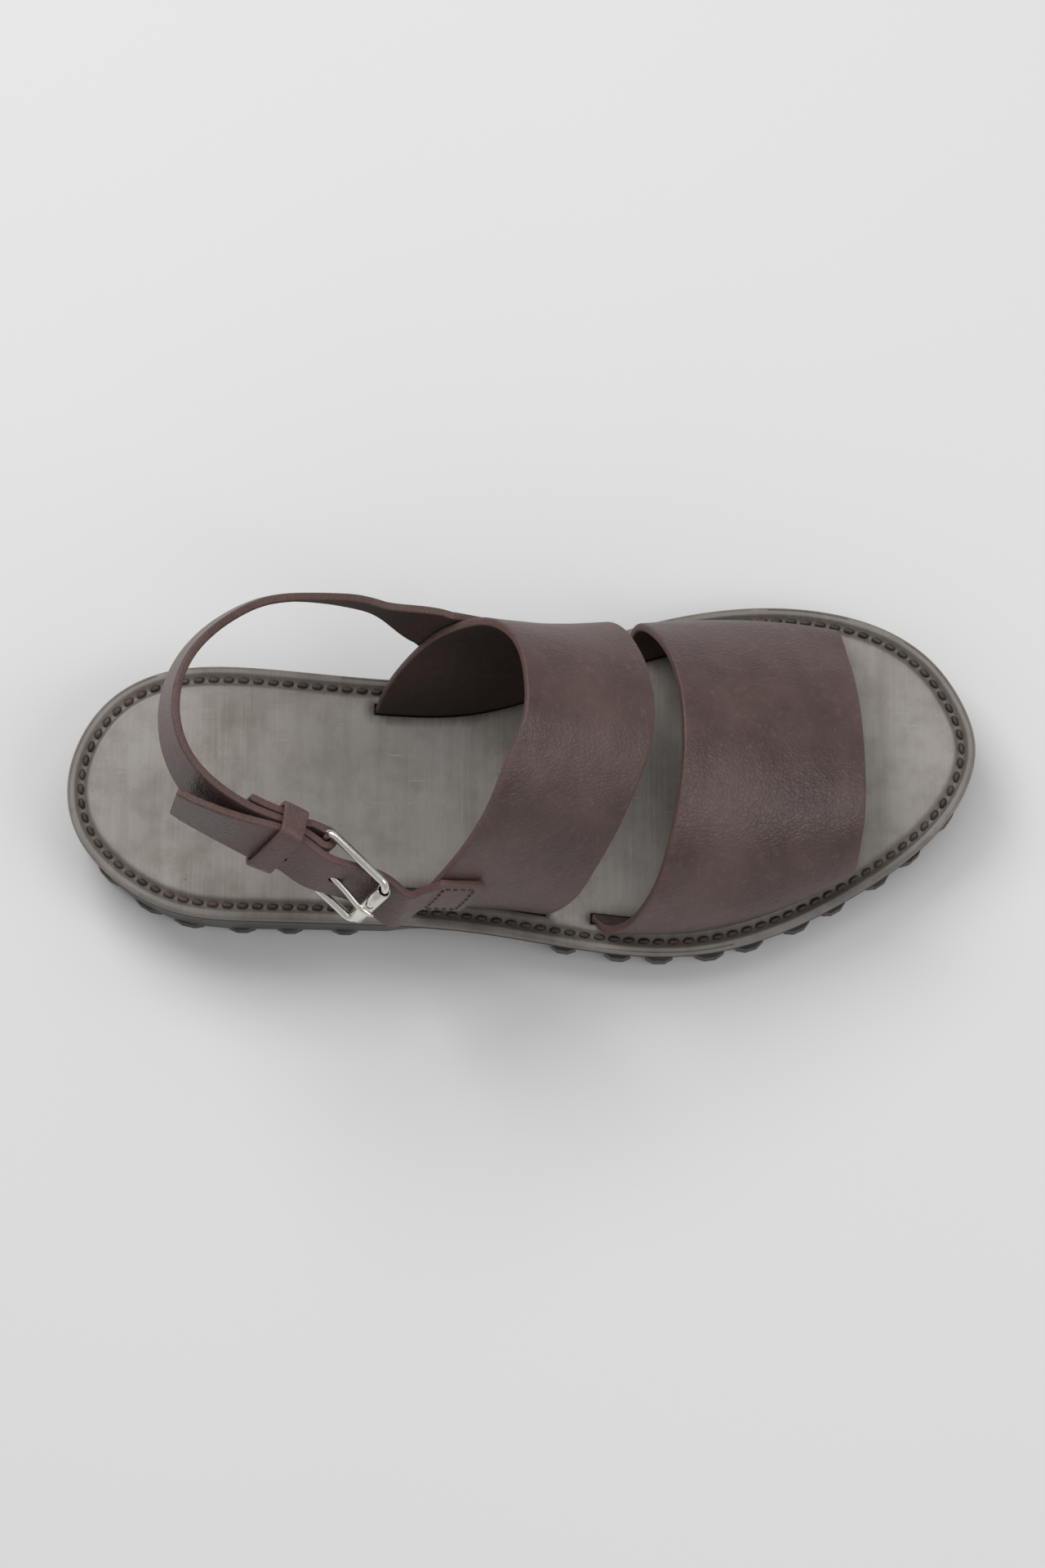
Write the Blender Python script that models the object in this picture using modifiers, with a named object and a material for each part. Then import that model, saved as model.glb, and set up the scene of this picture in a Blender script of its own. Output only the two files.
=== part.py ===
"""A right-foot leather sandal: two wide straps and a buckled heel strap on a lugged rubber sole.

Frame: +X to the toe, +Y to the medial side, +Z up. The origin is the middle of the
footprint, on the ground. The sandal stands on its heel lugs and on the lugs under the ball.
"""
import bmesh
import bpy
import numpy as np
from math import atan2, cos, pi, radians, sin
from mathutils import Matrix, Vector

# Driving dimensions of the sole, in metres
LENGTH = 0.290
BALL_WIDTH = 0.1143
HEEL_HEIGHT = 0.0305
BALL_HEIGHT = 0.0185
TOE_SPRING = 0.0067
REAR_LIFT = 0.0058
FOOTBED_THICK = 0.0034
LUG_DEPTH = 0.0040
WAIST_THICK = 0.0070
SEAM_GAP = 0.0003
WALL_DRAFT = 0.085
EDGE_CHAMFER = 0.0005
WELT_GROOVE = 0.0005

# Driving dimensions of the tread
LUG_WIDTH = 0.0080
FORE_LUG_LENGTH = 0.0280
HEEL_LUG_LENGTH = 0.0225
FORE_LUG_COUNT = 22
HEEL_LUG_COUNT = 13
LUG_PROUD = 0.0006
LUG_ROOT = 0.0015
STAR_RADIUS = 0.0072
BREAST_HOLLOW = 0.0045
BREAST_SKEW = 0.0090
BREAST_SLOPE = 0.60
STEP_HEIGHT = 0.0013

# Driving dimensions of the straps
STRAP_THICK = 0.0026
SLOT_INSET = 0.0100
SLOT_CLEARANCE = 0.0005
FRONT_STRAP_HEIGHT = 0.0670
INSTEP_STRAP_HEIGHT = 0.0940
HEEL_STRAP_HEIGHT = 0.0980
HEEL_STRAP_WIDTH = 0.0195
SEWN_LENGTH = 0.0135
SEWN_GAP = 0.0004
RETURN_LENGTH = 0.0260
KEEPER_WIDTH = 0.0085
KEEPER_THICK = 0.0016
KEEPER_ROOM = 0.0006
KEEPER_CORNER = 0.0020

# Driving dimensions of the buckle
WIRE_RADIUS = 0.00135
BUCKLE_REACH = 0.0244
BUCKLE_SIDE = 0.0127
ROLLER_RADIUS = 0.0024
ROLLER_WALL = 0.0006
PRONG_RADIUS = 0.0010
PRONG_OVERHANG = 0.0032
PRONG_SLOT_LENGTH = 0.0150
PRONG_SLOT_ROOM = 0.0013
REAR_CORNER = 0.0024
FORE_CORNER = 0.0030
RUNNING_GAP = 0.0003
HOLE_ROOM = 0.0006
ROLLER_SLACK = 0.0010
PAST_ROLLER = 0.0072

# Plan outline of the footbed's edge, from the back of the heel round the medial side.
# Columns: along, a share of LENGTH; across, a share of BALL_WIDTH, medial side positive.
OUTLINE = [
    (0.0000, -0.072),
    (0.0134, 0.098),
    (0.0493, 0.217),
    (0.1050, 0.287),
    (0.1750, 0.303),
    (0.2650, 0.288),
    (0.3570, 0.272),
    (0.4300, 0.276),
    (0.5150, 0.338),
    (0.6000, 0.420),
    (0.6700, 0.471),
    (0.7410, 0.497),
    (0.8200, 0.493),
    (0.8920, 0.446),
    (0.9480, 0.352),
    (0.9850, 0.215),
    (0.9990, 0.087),
    (0.9820, -0.068),
    (0.9360, -0.204),
    (0.8720, -0.317),
    (0.7860, -0.430),
    (0.7060, -0.489),
    (0.6320, -0.499),
    (0.5400, -0.474),
    (0.4410, -0.438),
    (0.3300, -0.423),
    (0.2090, -0.418),
    (0.1160, -0.392),
    (0.0500, -0.298),
    (0.0130, -0.187),
]

# Front strap. Columns: along, across, height (a share of FRONT_STRAP_HEIGHT), from the
# medial slot over the foot to the lateral slot.
FRONT_REAR_EDGE = [
    (0.621, 0.402, 0.440),
    (0.640, 0.365, 0.680),
    (0.657, 0.284, 0.830),
    (0.668, 0.180, 0.930),
    (0.672, 0.069, 0.985),
    (0.672, -0.021, 1.000),
    (0.667, -0.136, 0.978),
    (0.657, -0.256, 0.899),
    (0.641, -0.367, 0.730),
    (0.624, -0.418, 0.570),
    (0.607, -0.438, 0.430),
    (0.587, -0.432, 0.345),
]
FRONT_FORE_EDGE = [
    (0.846, 0.412, 0.340),
    (0.856, 0.340, 0.470),
    (0.865, 0.217, 0.590),
    (0.870, 0.090, 0.645),
    (0.872, -0.032, 0.668),
    (0.871, -0.149, 0.645),
    (0.866, -0.240, 0.545),
    (0.860, -0.283, 0.420),
]

# Instep strap, likewise. Heights are shares of INSTEP_STRAP_HEIGHT.
INSTEP_REAR_EDGE = [
    (0.359, 0.242, 0.484),
    (0.388, 0.301, 0.585),
    (0.411, 0.327, 0.660),
    (0.434, 0.336, 0.725),
    (0.458, 0.330, 0.795),
    (0.488, 0.268, 0.885),
    (0.502, 0.138, 0.968),
    (0.500, 0.016, 1.000),
    (0.487, -0.069, 0.989),
    (0.465, -0.204, 0.935),
    (0.443, -0.291, 0.860),
    (0.418, -0.353, 0.750),
    (0.391, -0.392, 0.560),
    (0.376, -0.384, 0.400),
]
INSTEP_FORE_EDGE = [
    (0.522, 0.275, 0.360),
    (0.553, 0.337, 0.465),
    (0.595, 0.368, 0.560),
    (0.625, 0.268, 0.680),
    (0.637, 0.166, 0.745),
    (0.640, 0.088, 0.765),
    (0.637, 0.000, 0.768),
    (0.622, -0.112, 0.742),
    (0.600, -0.230, 0.675),
    (0.578, -0.315, 0.575),
    (0.556, -0.378, 0.455),
    (0.534, -0.395, 0.345),
]

# Where each wide strap goes through the footbed: rear and front ends of the slots,
# shares of LENGTH, on the medial and the lateral side.
FRONT_SLOTS = {"medial": (0.614, 0.838), "lateral": (0.576, 0.848)}
INSTEP_SLOTS = {"medial": (0.338, 0.512), "lateral": (0.372, 0.524)}
# Depths of a strap's rows in its slot, from the end of the strap, shares of the footbed's
# thickness: the last row stands proud, so that the strap leans only above the footbed.
SLOT_DEPTHS = [1.0, 0.4, -0.2]
# Share of the strap over which its edge leaves the slot's own curve.
SLOT_FADE = 0.42
SLOT_FADE_POWER = 1.5

# Heel strap's free run round the ankle. Columns: along, across, height (a share of
# HEEL_STRAP_HEIGHT), lean (degrees that its top edge tilts inward).
HEEL_RUN = [
    (0.338, 0.392, 0.679, 7),
    (0.275, 0.393, 0.781, 14),
    (0.224, 0.363, 0.857, 16),
    (0.180, 0.293, 0.918, 17),
    (0.143, 0.183, 0.969, 17),
    (0.127, 0.031, 1.000, 17),
    (0.140, -0.108, 0.990, 18),
    (0.180, -0.217, 0.944, 21),
    (0.225, -0.278, 0.880, 26),
]


# Buckle: the middle of its bar, the middle of its roller, and the lean of its plane.
BAR_PLACE = (0.277, -0.312, 0.796)
ROLLER_PLACE = (0.338, -0.452, 0.745)
BUCKLE_LEAN = 29
BILLET_WRAP = radians(30)
KEEPER_BACK = 0.0110
# The buckle strap's tail beyond the bar: its length, how much of it lies on the heel
# strap, and how far its tip stands off, drops and turns upright.
TAIL_LENGTH = 0.0420
TAIL_HELD = 0.0110
TAIL_STAND_OFF = 0.0046
TAIL_DROP = 0.0032
TAIL_UPRIGHT = 0.35

# Sewn ends on the instep strap: share of the way over the strap where the narrow strap's
# middle crosses the rear edge, the side, and the slant against the strap's width (degrees).
MEDIAL_SEAM = {"over": 0.237, "slant": 17, "side": 1}
LATERAL_SEAM = {"over": 0.793, "slant": 10, "side": -1}

# Mesh steps
OUTLINE_STEPS = 720
SOLE_STATIONS = 56
STRAP_STEPS = 30
STRAP_LANES = 8
THIN_LANES = 4
ROLLER_SIDES = 16


def spline(points, closed=False, samples=600):
    """Dense points on a cubic spline through the given points, evenly spaced by length."""
    knots = np.array(points, float)
    if closed:
        knots = np.vstack([knots, knots[:1]])
    steps = np.linalg.norm(np.diff(knots[:, :3], axis=0), axis=1)
    times = np.concatenate([[0.0], np.cumsum(steps)])
    count = len(knots)
    matrix = np.zeros((count, count))
    right = np.zeros((count, knots.shape[1]))
    for i in range(1, count - 1):
        matrix[i, i - 1:i + 2] = steps[i - 1], 2 * (steps[i - 1] + steps[i]), steps[i]
        slope_out = (knots[i + 1] - knots[i]) / steps[i]
        slope_in = (knots[i] - knots[i - 1]) / steps[i - 1]
        right[i] = 6 * (slope_out - slope_in)
    if closed:
        matrix[0, 0] = 2 * (steps[-1] + steps[0])
        matrix[0, 1] = steps[0]
        matrix[0, -2] = steps[-1]
        right[0] = 6 * ((knots[1] - knots[0]) / steps[0] - (knots[0] - knots[-2]) / steps[-1])
        matrix[-1, 0] = 1
        matrix[-1, -1] = -1
    else:
        matrix[0, 0] = 1
        matrix[-1, -1] = 1
    bend = np.linalg.solve(matrix, right)
    fine = np.linspace(0, times[-1], samples * 4)
    seat = np.clip(np.searchsorted(times, fine, side="right") - 1, 0, count - 2)
    width = steps[seat][:, None]
    ahead = (times[seat + 1] - fine)[:, None]
    behind = (fine - times[seat])[:, None]
    curve = (bend[seat] * ahead ** 3 + bend[seat + 1] * behind ** 3) / (6 * width)
    curve += (knots[seat] / width - bend[seat] * width / 6) * ahead
    curve += (knots[seat + 1] / width - bend[seat + 1] * width / 6) * behind
    return resample(curve, samples + 1 if closed else samples)


def resample(curve, count):
    """The given polyline at evenly spaced lengths."""
    walk = np.linalg.norm(np.diff(curve[:, :3], axis=0), axis=1)
    walk = np.concatenate([[0.0], np.cumsum(walk)])
    return at_length(curve, walk, np.linspace(0, walk[-1], count))


def at_length(curve, walk, wanted):
    """Columns of a polyline at the wanted lengths along it."""
    return np.stack([np.interp(wanted, walk, column) for column in curve.T], axis=1)


def unit(vector):
    """The vector at length one."""
    return vector / np.linalg.norm(vector, axis=-1, keepdims=True)


# The sole's plan
def plan_outline():
    """Outline points and outward normals, centred on the footprint."""
    table = np.array(OUTLINE) * (LENGTH, BALL_WIDTH)
    points = spline(table, closed=True, samples=OUTLINE_STEPS)[:-1]
    low = points.min(axis=0)
    high = points.max(axis=0)
    points = points - (low + high) / 2
    ahead = np.roll(points, -3, axis=0)
    behind = np.roll(points, 3, axis=0)
    way = unit(ahead - behind)
    normals = np.stack([-way[:, 1], way[:, 0]], axis=1)
    return points, normals, (low + high) / 2


RIM, RIM_NORMAL, PLAN_CENTRE = plan_outline()
HEEL_TIP = int(np.argmin(RIM[:, 0]))
TOE_TIP = int(np.argmax(RIM[:, 0]))
BACK = RIM[HEEL_TIP, 0]


def side_indices(side):
    """Outline indices from the heel's tip to the toe's tip on one side."""
    if side > 0:
        return np.arange(HEEL_TIP, HEEL_TIP + (TOE_TIP - HEEL_TIP) % OUTLINE_STEPS + 1) % OUTLINE_STEPS
    back = np.arange(TOE_TIP, TOE_TIP + (HEEL_TIP - TOE_TIP) % OUTLINE_STEPS + 1) % OUTLINE_STEPS
    return back[::-1]


def rim_at(x, side, inset=0.0):
    """Points of the outline, set in by a distance, at places along the sole."""
    index = side_indices(side)
    inner = RIM[index] - RIM_NORMAL[index] * inset
    return np.interp(x, inner[:, 0], inner[:, 1])


def along(share):
    """A place along the sole, from the back of the heel."""
    return BACK + share * LENGTH


def place(row, height):
    """A point from shares of length, width and a height."""
    return np.array([along(row[0]), row[1] * BALL_WIDTH - PLAN_CENTRE[1], row[2] * height])


# The sole's heights
FALL_END = 0.72
FALL_POWER = 1.35
LIFT_END = 0.724
LIFT_SPAN = 0.207
LIFT_POWER = 1.3
SPRING_START = 0.828
BREAST_AT = 0.338
TREAD_AT = 0.495
WAIST_LEVEL = 0.2
HEEL_HALF = 0.36
HEEL_LEVEL_END = 0.388


def toe_rise(x):
    """How far the toe is sprung off the ground."""
    share = np.clip((x - along(SPRING_START)) / ((1 - SPRING_START) * LENGTH), 0, None)
    return TOE_SPRING * share ** 2


def edge_height(x):
    """Height of the footbed's upper face."""
    share = np.clip((x - BACK) / (FALL_END * LENGTH), 0, 1) ** FALL_POWER
    return BALL_HEIGHT + (HEEL_HEIGHT - BALL_HEIGHT) * (1 + np.cos(pi * share)) / 2 + toe_rise(x)


def tread_height(x):
    """Height of the tread's contact faces in front of the heel."""
    behind = np.clip((along(LIFT_END) - x) / (LIFT_SPAN * LENGTH), 0, 1)
    return REAR_LIFT * behind ** LIFT_POWER + toe_rise(x)


def footbed_base(x):
    """Height of the footbed's lower face."""
    return edge_height(x) - FOOTBED_THICK


def rubber_top(x):
    """Height of the rubber under the footbed."""
    return footbed_base(x) - SEAM_GAP


def ground_height(x):
    """Height of the lugs' faces: flat under the heel, curved under the forefoot."""
    return np.where(x < along(HEEL_LEVEL_END), 0.0, tread_height(x))


def rubber_base(x):
    """Height of the rubber between the lugs, as if the waist were full."""
    return ground_height(x) + LUG_DEPTH


def waist_base(x):
    """Height of the waist's underside, from the heel's breast to the tread."""
    share = np.clip((x - along(BREAST_AT)) / ((TREAD_AT - BREAST_AT) * LENGTH), 0, 1)
    rear = rubber_top(along(BREAST_AT)) - WAIST_THICK
    front = tread_height(along(TREAD_AT)) + LUG_DEPTH + STEP_HEIGHT
    return rear + (front - rear) * (WAIST_LEVEL * share + (1 - WAIST_LEVEL) * share ** 2)


# Scene, collections and materials
def clear_scene():
    """Start from an empty scene."""
    for item in list(bpy.data.objects):
        bpy.data.objects.remove(item, do_unlink=True)


def collection(name):
    """A new collection in the scene."""
    made = bpy.data.collections.new(name)
    bpy.context.scene.collection.children.link(made)
    return made


def material(name, colour, roughness, metallic=0.0):
    """A plain Principled material."""
    made = bpy.data.materials.new(name)
    made.use_nodes = True
    shader = made.node_tree.nodes["Principled BSDF"]
    shader.inputs["Base Color"].default_value = (*colour, 1.0)
    shader.inputs["Roughness"].default_value = roughness
    shader.inputs["Metallic"].default_value = metallic
    return made


def mesh_object(name, points, faces, home, finish=None):
    """An object from points and faces, with its normals facing out."""
    mesh = bpy.data.meshes.new(name)
    mesh.from_pydata([tuple(map(float, p)) for p in points], [], faces)
    work = bmesh.new()
    work.from_mesh(mesh)
    bmesh.ops.remove_doubles(work, verts=work.verts, dist=1e-6)
    bmesh.ops.recalc_face_normals(work, faces=work.faces)
    work.to_mesh(mesh)
    work.free()
    made = bpy.data.objects.new(name, mesh)
    home.objects.link(made)
    if finish:
        mesh.materials.append(finish)
    return made


def as_guide(item):
    """Mark an object as a cutter or guide."""
    item.hide_render = True
    item.display_type = "WIRE"
    return item


def boolean(item, other, operation):
    """Cut or join with another object by an exact Boolean."""
    made = item.modifiers.new(operation.title(), "BOOLEAN")
    made.operation = operation
    made.solver = "EXACT"
    made.object = other
    return made


def smooth(item, angle=35):
    """Smooth shading with sharp edges kept."""
    item.data.shade_smooth()
    item.data.set_sharp_from_angle(angle=radians(angle))


# Lofts
def slab(name, levels, home, finish=None):
    """A sole layer: a closed loft over the plan outline.

    Each level is an inset and a height function, from the top face to the bottom face.
    """
    turn = np.linspace(0, pi, SOLE_STATIONS)
    stations = BACK + LENGTH * (1 - np.cos(turn)) / 2
    points = []
    rows = []
    for number, x in enumerate(stations):
        row = []
        tip = number in (0, SOLE_STATIONS - 1)
        for side in ((1,) if tip else (1, -1)):
            index = side_indices(side)
            spot = np.interp(x, RIM[index, 0], np.arange(len(index)))
            low = index[int(spot)]
            high = index[min(int(spot) + 1, len(index) - 1)]
            blend = spot - int(spot)
            rim = RIM[low] * (1 - blend) + RIM[high] * blend
            normal = unit(RIM_NORMAL[low] * (1 - blend) + RIM_NORMAL[high] * blend)
            column = []
            for inset, height in levels:
                spot_xy = rim - normal * inset
                column.append(len(points))
                points.append((spot_xy[0], spot_xy[1], float(height(spot_xy[0]))))
            row.append(column)
        rows.append(row)
    faces = []
    for rear, fore in zip(rows[:-1], rows[1:]):
        for level in (0, len(levels) - 1):
            ring = [rear[0][level], fore[0][level], fore[-1][level], rear[-1][level]]
            faces.append(list(dict.fromkeys(ring)))
        for side in (0, -1):
            for level in range(len(levels) - 1):
                faces.append([rear[side][level], fore[side][level],
                              fore[side][level + 1], rear[side][level + 1]])
    return mesh_object(name, points, faces, home, finish)


def prism(outline, low, high):
    """Points and faces of an upright prism whose ends follow two height functions."""
    count = len(outline)
    points = [(x, y, float(low(x))) for x, y in outline]
    points += [(x, y, float(high(x))) for x, y in outline]
    faces = [[i, (i + 1) % count, count + (i + 1) % count, count + i] for i in range(count)]
    faces.append(list(range(count)))
    faces.append(list(range(count, 2 * count)))
    return points, faces


def merged(pieces):
    """One list of points and faces from several."""
    points = []
    faces = []
    for more_points, more_faces in pieces:
        base = len(points)
        points += more_points
        faces += [[base + corner for corner in face] for face in more_faces]
    return points, faces


# The tread
# Plan of a lug. Columns: reach (share of the lug's length), half (share of its width).
LUG_PLAN = [
    (0.00, 0.20),
    (0.05, 0.50),
    (0.46, 0.50),
    (0.54, 0.20),
    (0.60, 0.20),
    (0.68, 0.42),
    (0.92, 0.42),
    (1.00, 0.18),
]
# Stars between the lugs. Columns: along, across.
FORE_STARS = [
    (0.553, -0.020),
    (0.606, 0.062),
    (0.668, -0.060),
    (0.712, 0.088),
    (0.762, -0.010),
    (0.826, 0.078),
]
HEEL_STARS = [
    (0.150, -0.045),
    (0.232, -0.040),
]
WAIST_REACH = 0.6
WAIST_LANES = 13
WAIST_STEPS = 9
STAR_POINTS = 6
STAR_WAIST = 0.62
WEDGE_LIMIT = 0.62
LUG_PAIRING = 0.0016
LUG_NARROWEST = 0.3
FAN_SHARE = 0.45
FAN_BEND = 0.035
BEND_SPAN = 12
FORE_LUGS_AT = 0.545
HEEL_LUGS_AT = {"medial": 0.235, "lateral": 0.300}


def bend_of_rim(index):
    """Curvature of the outline, smoothed over about 20 mm."""
    before = (index - BEND_SPAN) % OUTLINE_STEPS
    after = (index + BEND_SPAN) % OUTLINE_STEPS
    first = RIM_NORMAL[before]
    last = RIM_NORMAL[after]
    turn = atan2(first[0] * last[1] - first[1] * last[0], float(first @ last))
    return turn / np.linalg.norm(RIM[after] - RIM[before])


def lug_root(x):
    """Height where a lug ends inside the rubber."""
    return rubber_base(x) + LUG_ROOT


def lug(index, shift, length, inset):
    """Plan of one lug, pointing inward from the outline and narrowing where it turns."""
    point = RIM[index]
    inward = -RIM_NORMAL[index]
    sideways = np.array([-inward[1], inward[0]])
    bend = abs(bend_of_rim(index))
    reach = min(length, WEDGE_LIMIT / max(bend, 1e-6))
    fan = 1 + FAN_SHARE * min(1, bend * FAN_BEND)
    start = point + inward * (inset - LUG_PROUD) + sideways * shift
    left = []
    right = []
    for share, half in LUG_PLAN:
        depth = share * reach
        width = half * LUG_WIDTH * fan * max(1 - bend * depth, LUG_NARROWEST)
        left.append(start + inward * depth + sideways * width)
        right.append(start + inward * depth - sideways * width)
    return left + right[::-1]


def lug_row(first, last, count, length):
    """Evenly spaced lugs between two outline indices, in loose pairs."""
    span = (last - first) % OUTLINE_STEPS
    pieces = []
    for number in range(count):
        index = int(first + span * number / (count - 1)) % OUTLINE_STEPS
        inset = wall_inset(RIM[index, 0])
        shift = LUG_PAIRING / 2 * (1 if number % 2 else -1)
        outline = lug(index, shift, length, inset)
        pieces.append(prism(outline, ground_height, lug_root))
    return pieces


def star(row):
    """A six-pointed block."""
    centre = place((row[0], row[1], 0), 0)
    outline = []
    for number in range(2 * STAR_POINTS):
        radius = STAR_RADIUS * (1 if number % 2 == 0 else STAR_WAIST)
        angle = pi * number / STAR_POINTS
        outline.append((centre[0] + radius * cos(angle), centre[1] + radius * sin(angle)))
    return prism(outline, ground_height, lug_root)


def wall_inset(x):
    """Inset of the rubber's lower edge, from the draft of its wall."""
    return WALL_DRAFT * (rubber_top(x) - rubber_base(x))


def rim_index(x, side):
    """The outline index at a place along one side."""
    index = side_indices(side)
    return int(index[int(np.argmin(np.abs(RIM[index, 0] - x)))])


def make_outsole(home, guides, finish):
    """The moulded rubber: wall, heel, waist and tread in one piece."""
    deepest = float(rubber_top(BACK) - rubber_base(BACK))
    levels = [
        (WELT_GROOVE, rubber_top),
        (WELT_GROOVE, lambda x: rubber_top(x) - WELT_GROOVE),
        (0.0, lambda x: rubber_top(x) - 2 * WELT_GROOVE),
        (WALL_DRAFT * deepest, rubber_base),
    ]
    sole = slab("outsole", levels, home, finish)
    waist = as_guide(mesh_object("waist_cutter", *waist_hollow(), guides))
    boolean(sole, waist, "DIFFERENCE")
    fore = lug_row(rim_index(along(FORE_LUGS_AT), 1), rim_index(along(FORE_LUGS_AT), -1),
                   FORE_LUG_COUNT, FORE_LUG_LENGTH)
    heel_start = rim_index(along(HEEL_LUGS_AT["lateral"]), -1)
    heel_end = rim_index(along(HEEL_LUGS_AT["medial"]), 1)
    heel = lug_row(heel_start, heel_end, HEEL_LUG_COUNT, HEEL_LUG_LENGTH)
    stars = [star(row) for row in FORE_STARS + HEEL_STARS]
    tread = as_guide(mesh_object("tread_blocks", *merged(fore + heel + stars), guides))
    boolean(sole, tread, "UNION")
    return sole


def waist_hollow():
    """The space under the waist, from the hollow breast of the heel to the tread."""
    lanes = np.linspace(-WAIST_REACH, WAIST_REACH, WAIST_LANES)
    steps = np.linspace(0, 1, WAIST_STEPS)
    points = []
    lower = []
    for share in steps:
        for lane in lanes:
            y = lane * BALL_WIDTH
            side = y / (HEEL_HALF * BALL_WIDTH)
            rear = along(BREAST_AT) - BREAST_SKEW * side - BREAST_HOLLOW * max(0.0, 1 - side ** 2)
            x = rear + (along(TREAD_AT) - rear) * share
            z = float(waist_base(x))
            points.append((x, y, z))
            lower.append((x - BREAST_SLOPE * (z + LUG_DEPTH) * (1 - share), y, -LUG_DEPTH))
    top = len(points)
    points += lower
    wide = len(lanes)
    faces = []
    for i in range(len(steps) - 1):
        for j in range(wide - 1):
            a = i * wide + j
            faces.append([a, a + 1, a + wide + 1, a + wide])
            faces.append([top + a, top + a + 1, top + a + wide + 1, top + a + wide])
    for i in range(len(steps) - 1):
        for j in (0, wide - 1):
            a = i * wide + j
            faces.append([a, a + wide, top + a + wide, top + a])
    for j in range(wide - 1):
        for i in (0, len(steps) - 1):
            a = i * wide + j
            faces.append([a, a + 1, top + a + 1, top + a])
    return points, faces


# Wide straps
def slot_line(ends, side, count):
    """Plan points of a slot: the outline set in, between two places along the sole."""
    stations = np.linspace(along(ends[0]), along(ends[1]), count)
    return np.stack([stations, rim_at(stations, side, SLOT_INSET)], axis=1)


def wide_strap_grid(rear_table, fore_table, height, slots, steps, lanes):
    """Middle surface of a strap that goes through a slot on each side of the footbed."""
    edges = []
    for table, end in ((rear_table, 0), (fore_table, 1)):
        points = [place(row, height) for row in table]
        starts = []
        for name, side in (("medial", 1), ("lateral", -1)):
            x = along(slots[name][end])
            y = rim_at(x, side, SLOT_INSET)
            starts.append(np.array([x, y, edge_height(x)]))
        edges.append(spline([starts[0]] + points + [starts[1]], samples=steps))
    rear, fore = edges
    share = np.linspace(0, 1, lanes)[None, :, None]
    grid = rear[:, None, :] * (1 - share) + fore[:, None, :] * share
    for name, side, order in (("medial", 1, 1), ("lateral", -1, -1)):
        line = slot_line(slots[name], side, lanes)
        rows = np.linspace(0, 1, steps)[::order]
        first = grid[0 if order > 0 else -1, :, :2].copy()
        fade = np.clip(1 - rows / SLOT_FADE, 0, 1) ** SLOT_FADE_POWER
        grid[:, :, :2] += fade[:, None, None] * (line - first)[None]
    ends = []
    for row in (grid[0], grid[-1]):
        stack = np.repeat(row[None], len(SLOT_DEPTHS), axis=0)
        stack[:, :, 2] = edge_height(row[:, 0]) - np.outer(SLOT_DEPTHS, np.full(lanes, FOOTBED_THICK))
        ends.append(stack)
    return np.concatenate([ends[0], grid[1:-1], ends[1][::-1]])


def ribbon(name, grid, thickness, home, finish):
    """A leather strap: an open surface with a thickness."""
    rows, lanes, _ = grid.shape
    points = grid.reshape(-1, 3)
    faces = []
    for i in range(rows - 1):
        for j in range(lanes - 1):
            a = i * lanes + j
            faces.append([a, a + 1, a + lanes + 1, a + lanes])
    made = mesh_object(name, points, faces, home, finish)
    skin = made.modifiers.new("Thickness", "SOLIDIFY")
    skin.thickness = thickness
    skin.offset = 0
    skin.use_even_offset = True
    return made


def slot_cutter(name, ends, side, guides):
    """The opening in the footbed for one end of a wide strap."""
    lanes = STRAP_LANES + 1
    line = slot_line(ends, side, lanes)
    way = unit(line[-1] - line[0])
    line[0] -= way * SLOT_CLEARANCE
    line[-1] += way * SLOT_CLEARANCE
    grid = np.zeros((2, lanes, 3))
    for number, height in enumerate((-FOOTBED_THICK, 2 * FOOTBED_THICK)):
        grid[number, :, :2] = line
        grid[number, :, 2] = edge_height(line[:, 0]) - FOOTBED_THICK + height
    cutter = ribbon(name, grid, STRAP_THICK + 2 * SLOT_CLEARANCE, guides, None)
    return as_guide(cutter)


def make_footbed(home, guides, finish):
    """The leather footbed, slotted for the straps."""
    levels = [
        (EDGE_CHAMFER, edge_height),
        (0.0, lambda x: edge_height(x) - EDGE_CHAMFER),
        (0.0, lambda x: footbed_base(x) + EDGE_CHAMFER),
        (EDGE_CHAMFER / 2, footbed_base),
    ]
    bed = slab("footbed", levels, home, finish)
    for strap, slots in (("front", FRONT_SLOTS), ("instep", INSTEP_SLOTS)):
        for name, side in (("medial", 1), ("lateral", -1)):
            cutter = slot_cutter(f"{strap}_{name}_slot", slots[name], side, guides)
            boolean(bed, cutter, "DIFFERENCE")
    return bed


# Narrow straps
# Step for slopes on a strap's surface, a share of its length or width.
PROBE = 0.02
SEAM_OUTWARD = 0.3
LAYER_PITCH = STRAP_THICK + SEWN_GAP
FREE_ROWS = 34
BILLET_FREE_ROWS = 25
FOLD_STEPS = 7
RETURN_STEPS = 7
# Shares of the free run over which a narrow strap turns to and from its sewn end's slant.
EASE_IN = 0.12
EASE_OUT = 0.40
# Rows of the buckle strap's tail, and where it leaves the heel strap behind the bar.
TAIL_ROWS = 17
TAIL_END = 0.0020
# Reach of the buckle's own square, in buckle lengths from its middle.
SQUARE_REACH = 1.6
# Where the folded return starts and has settled on the strap, shares of RETURN_LENGTH.
RETURN_START = 0.16
RETURN_SETTLED = 0.30


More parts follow.
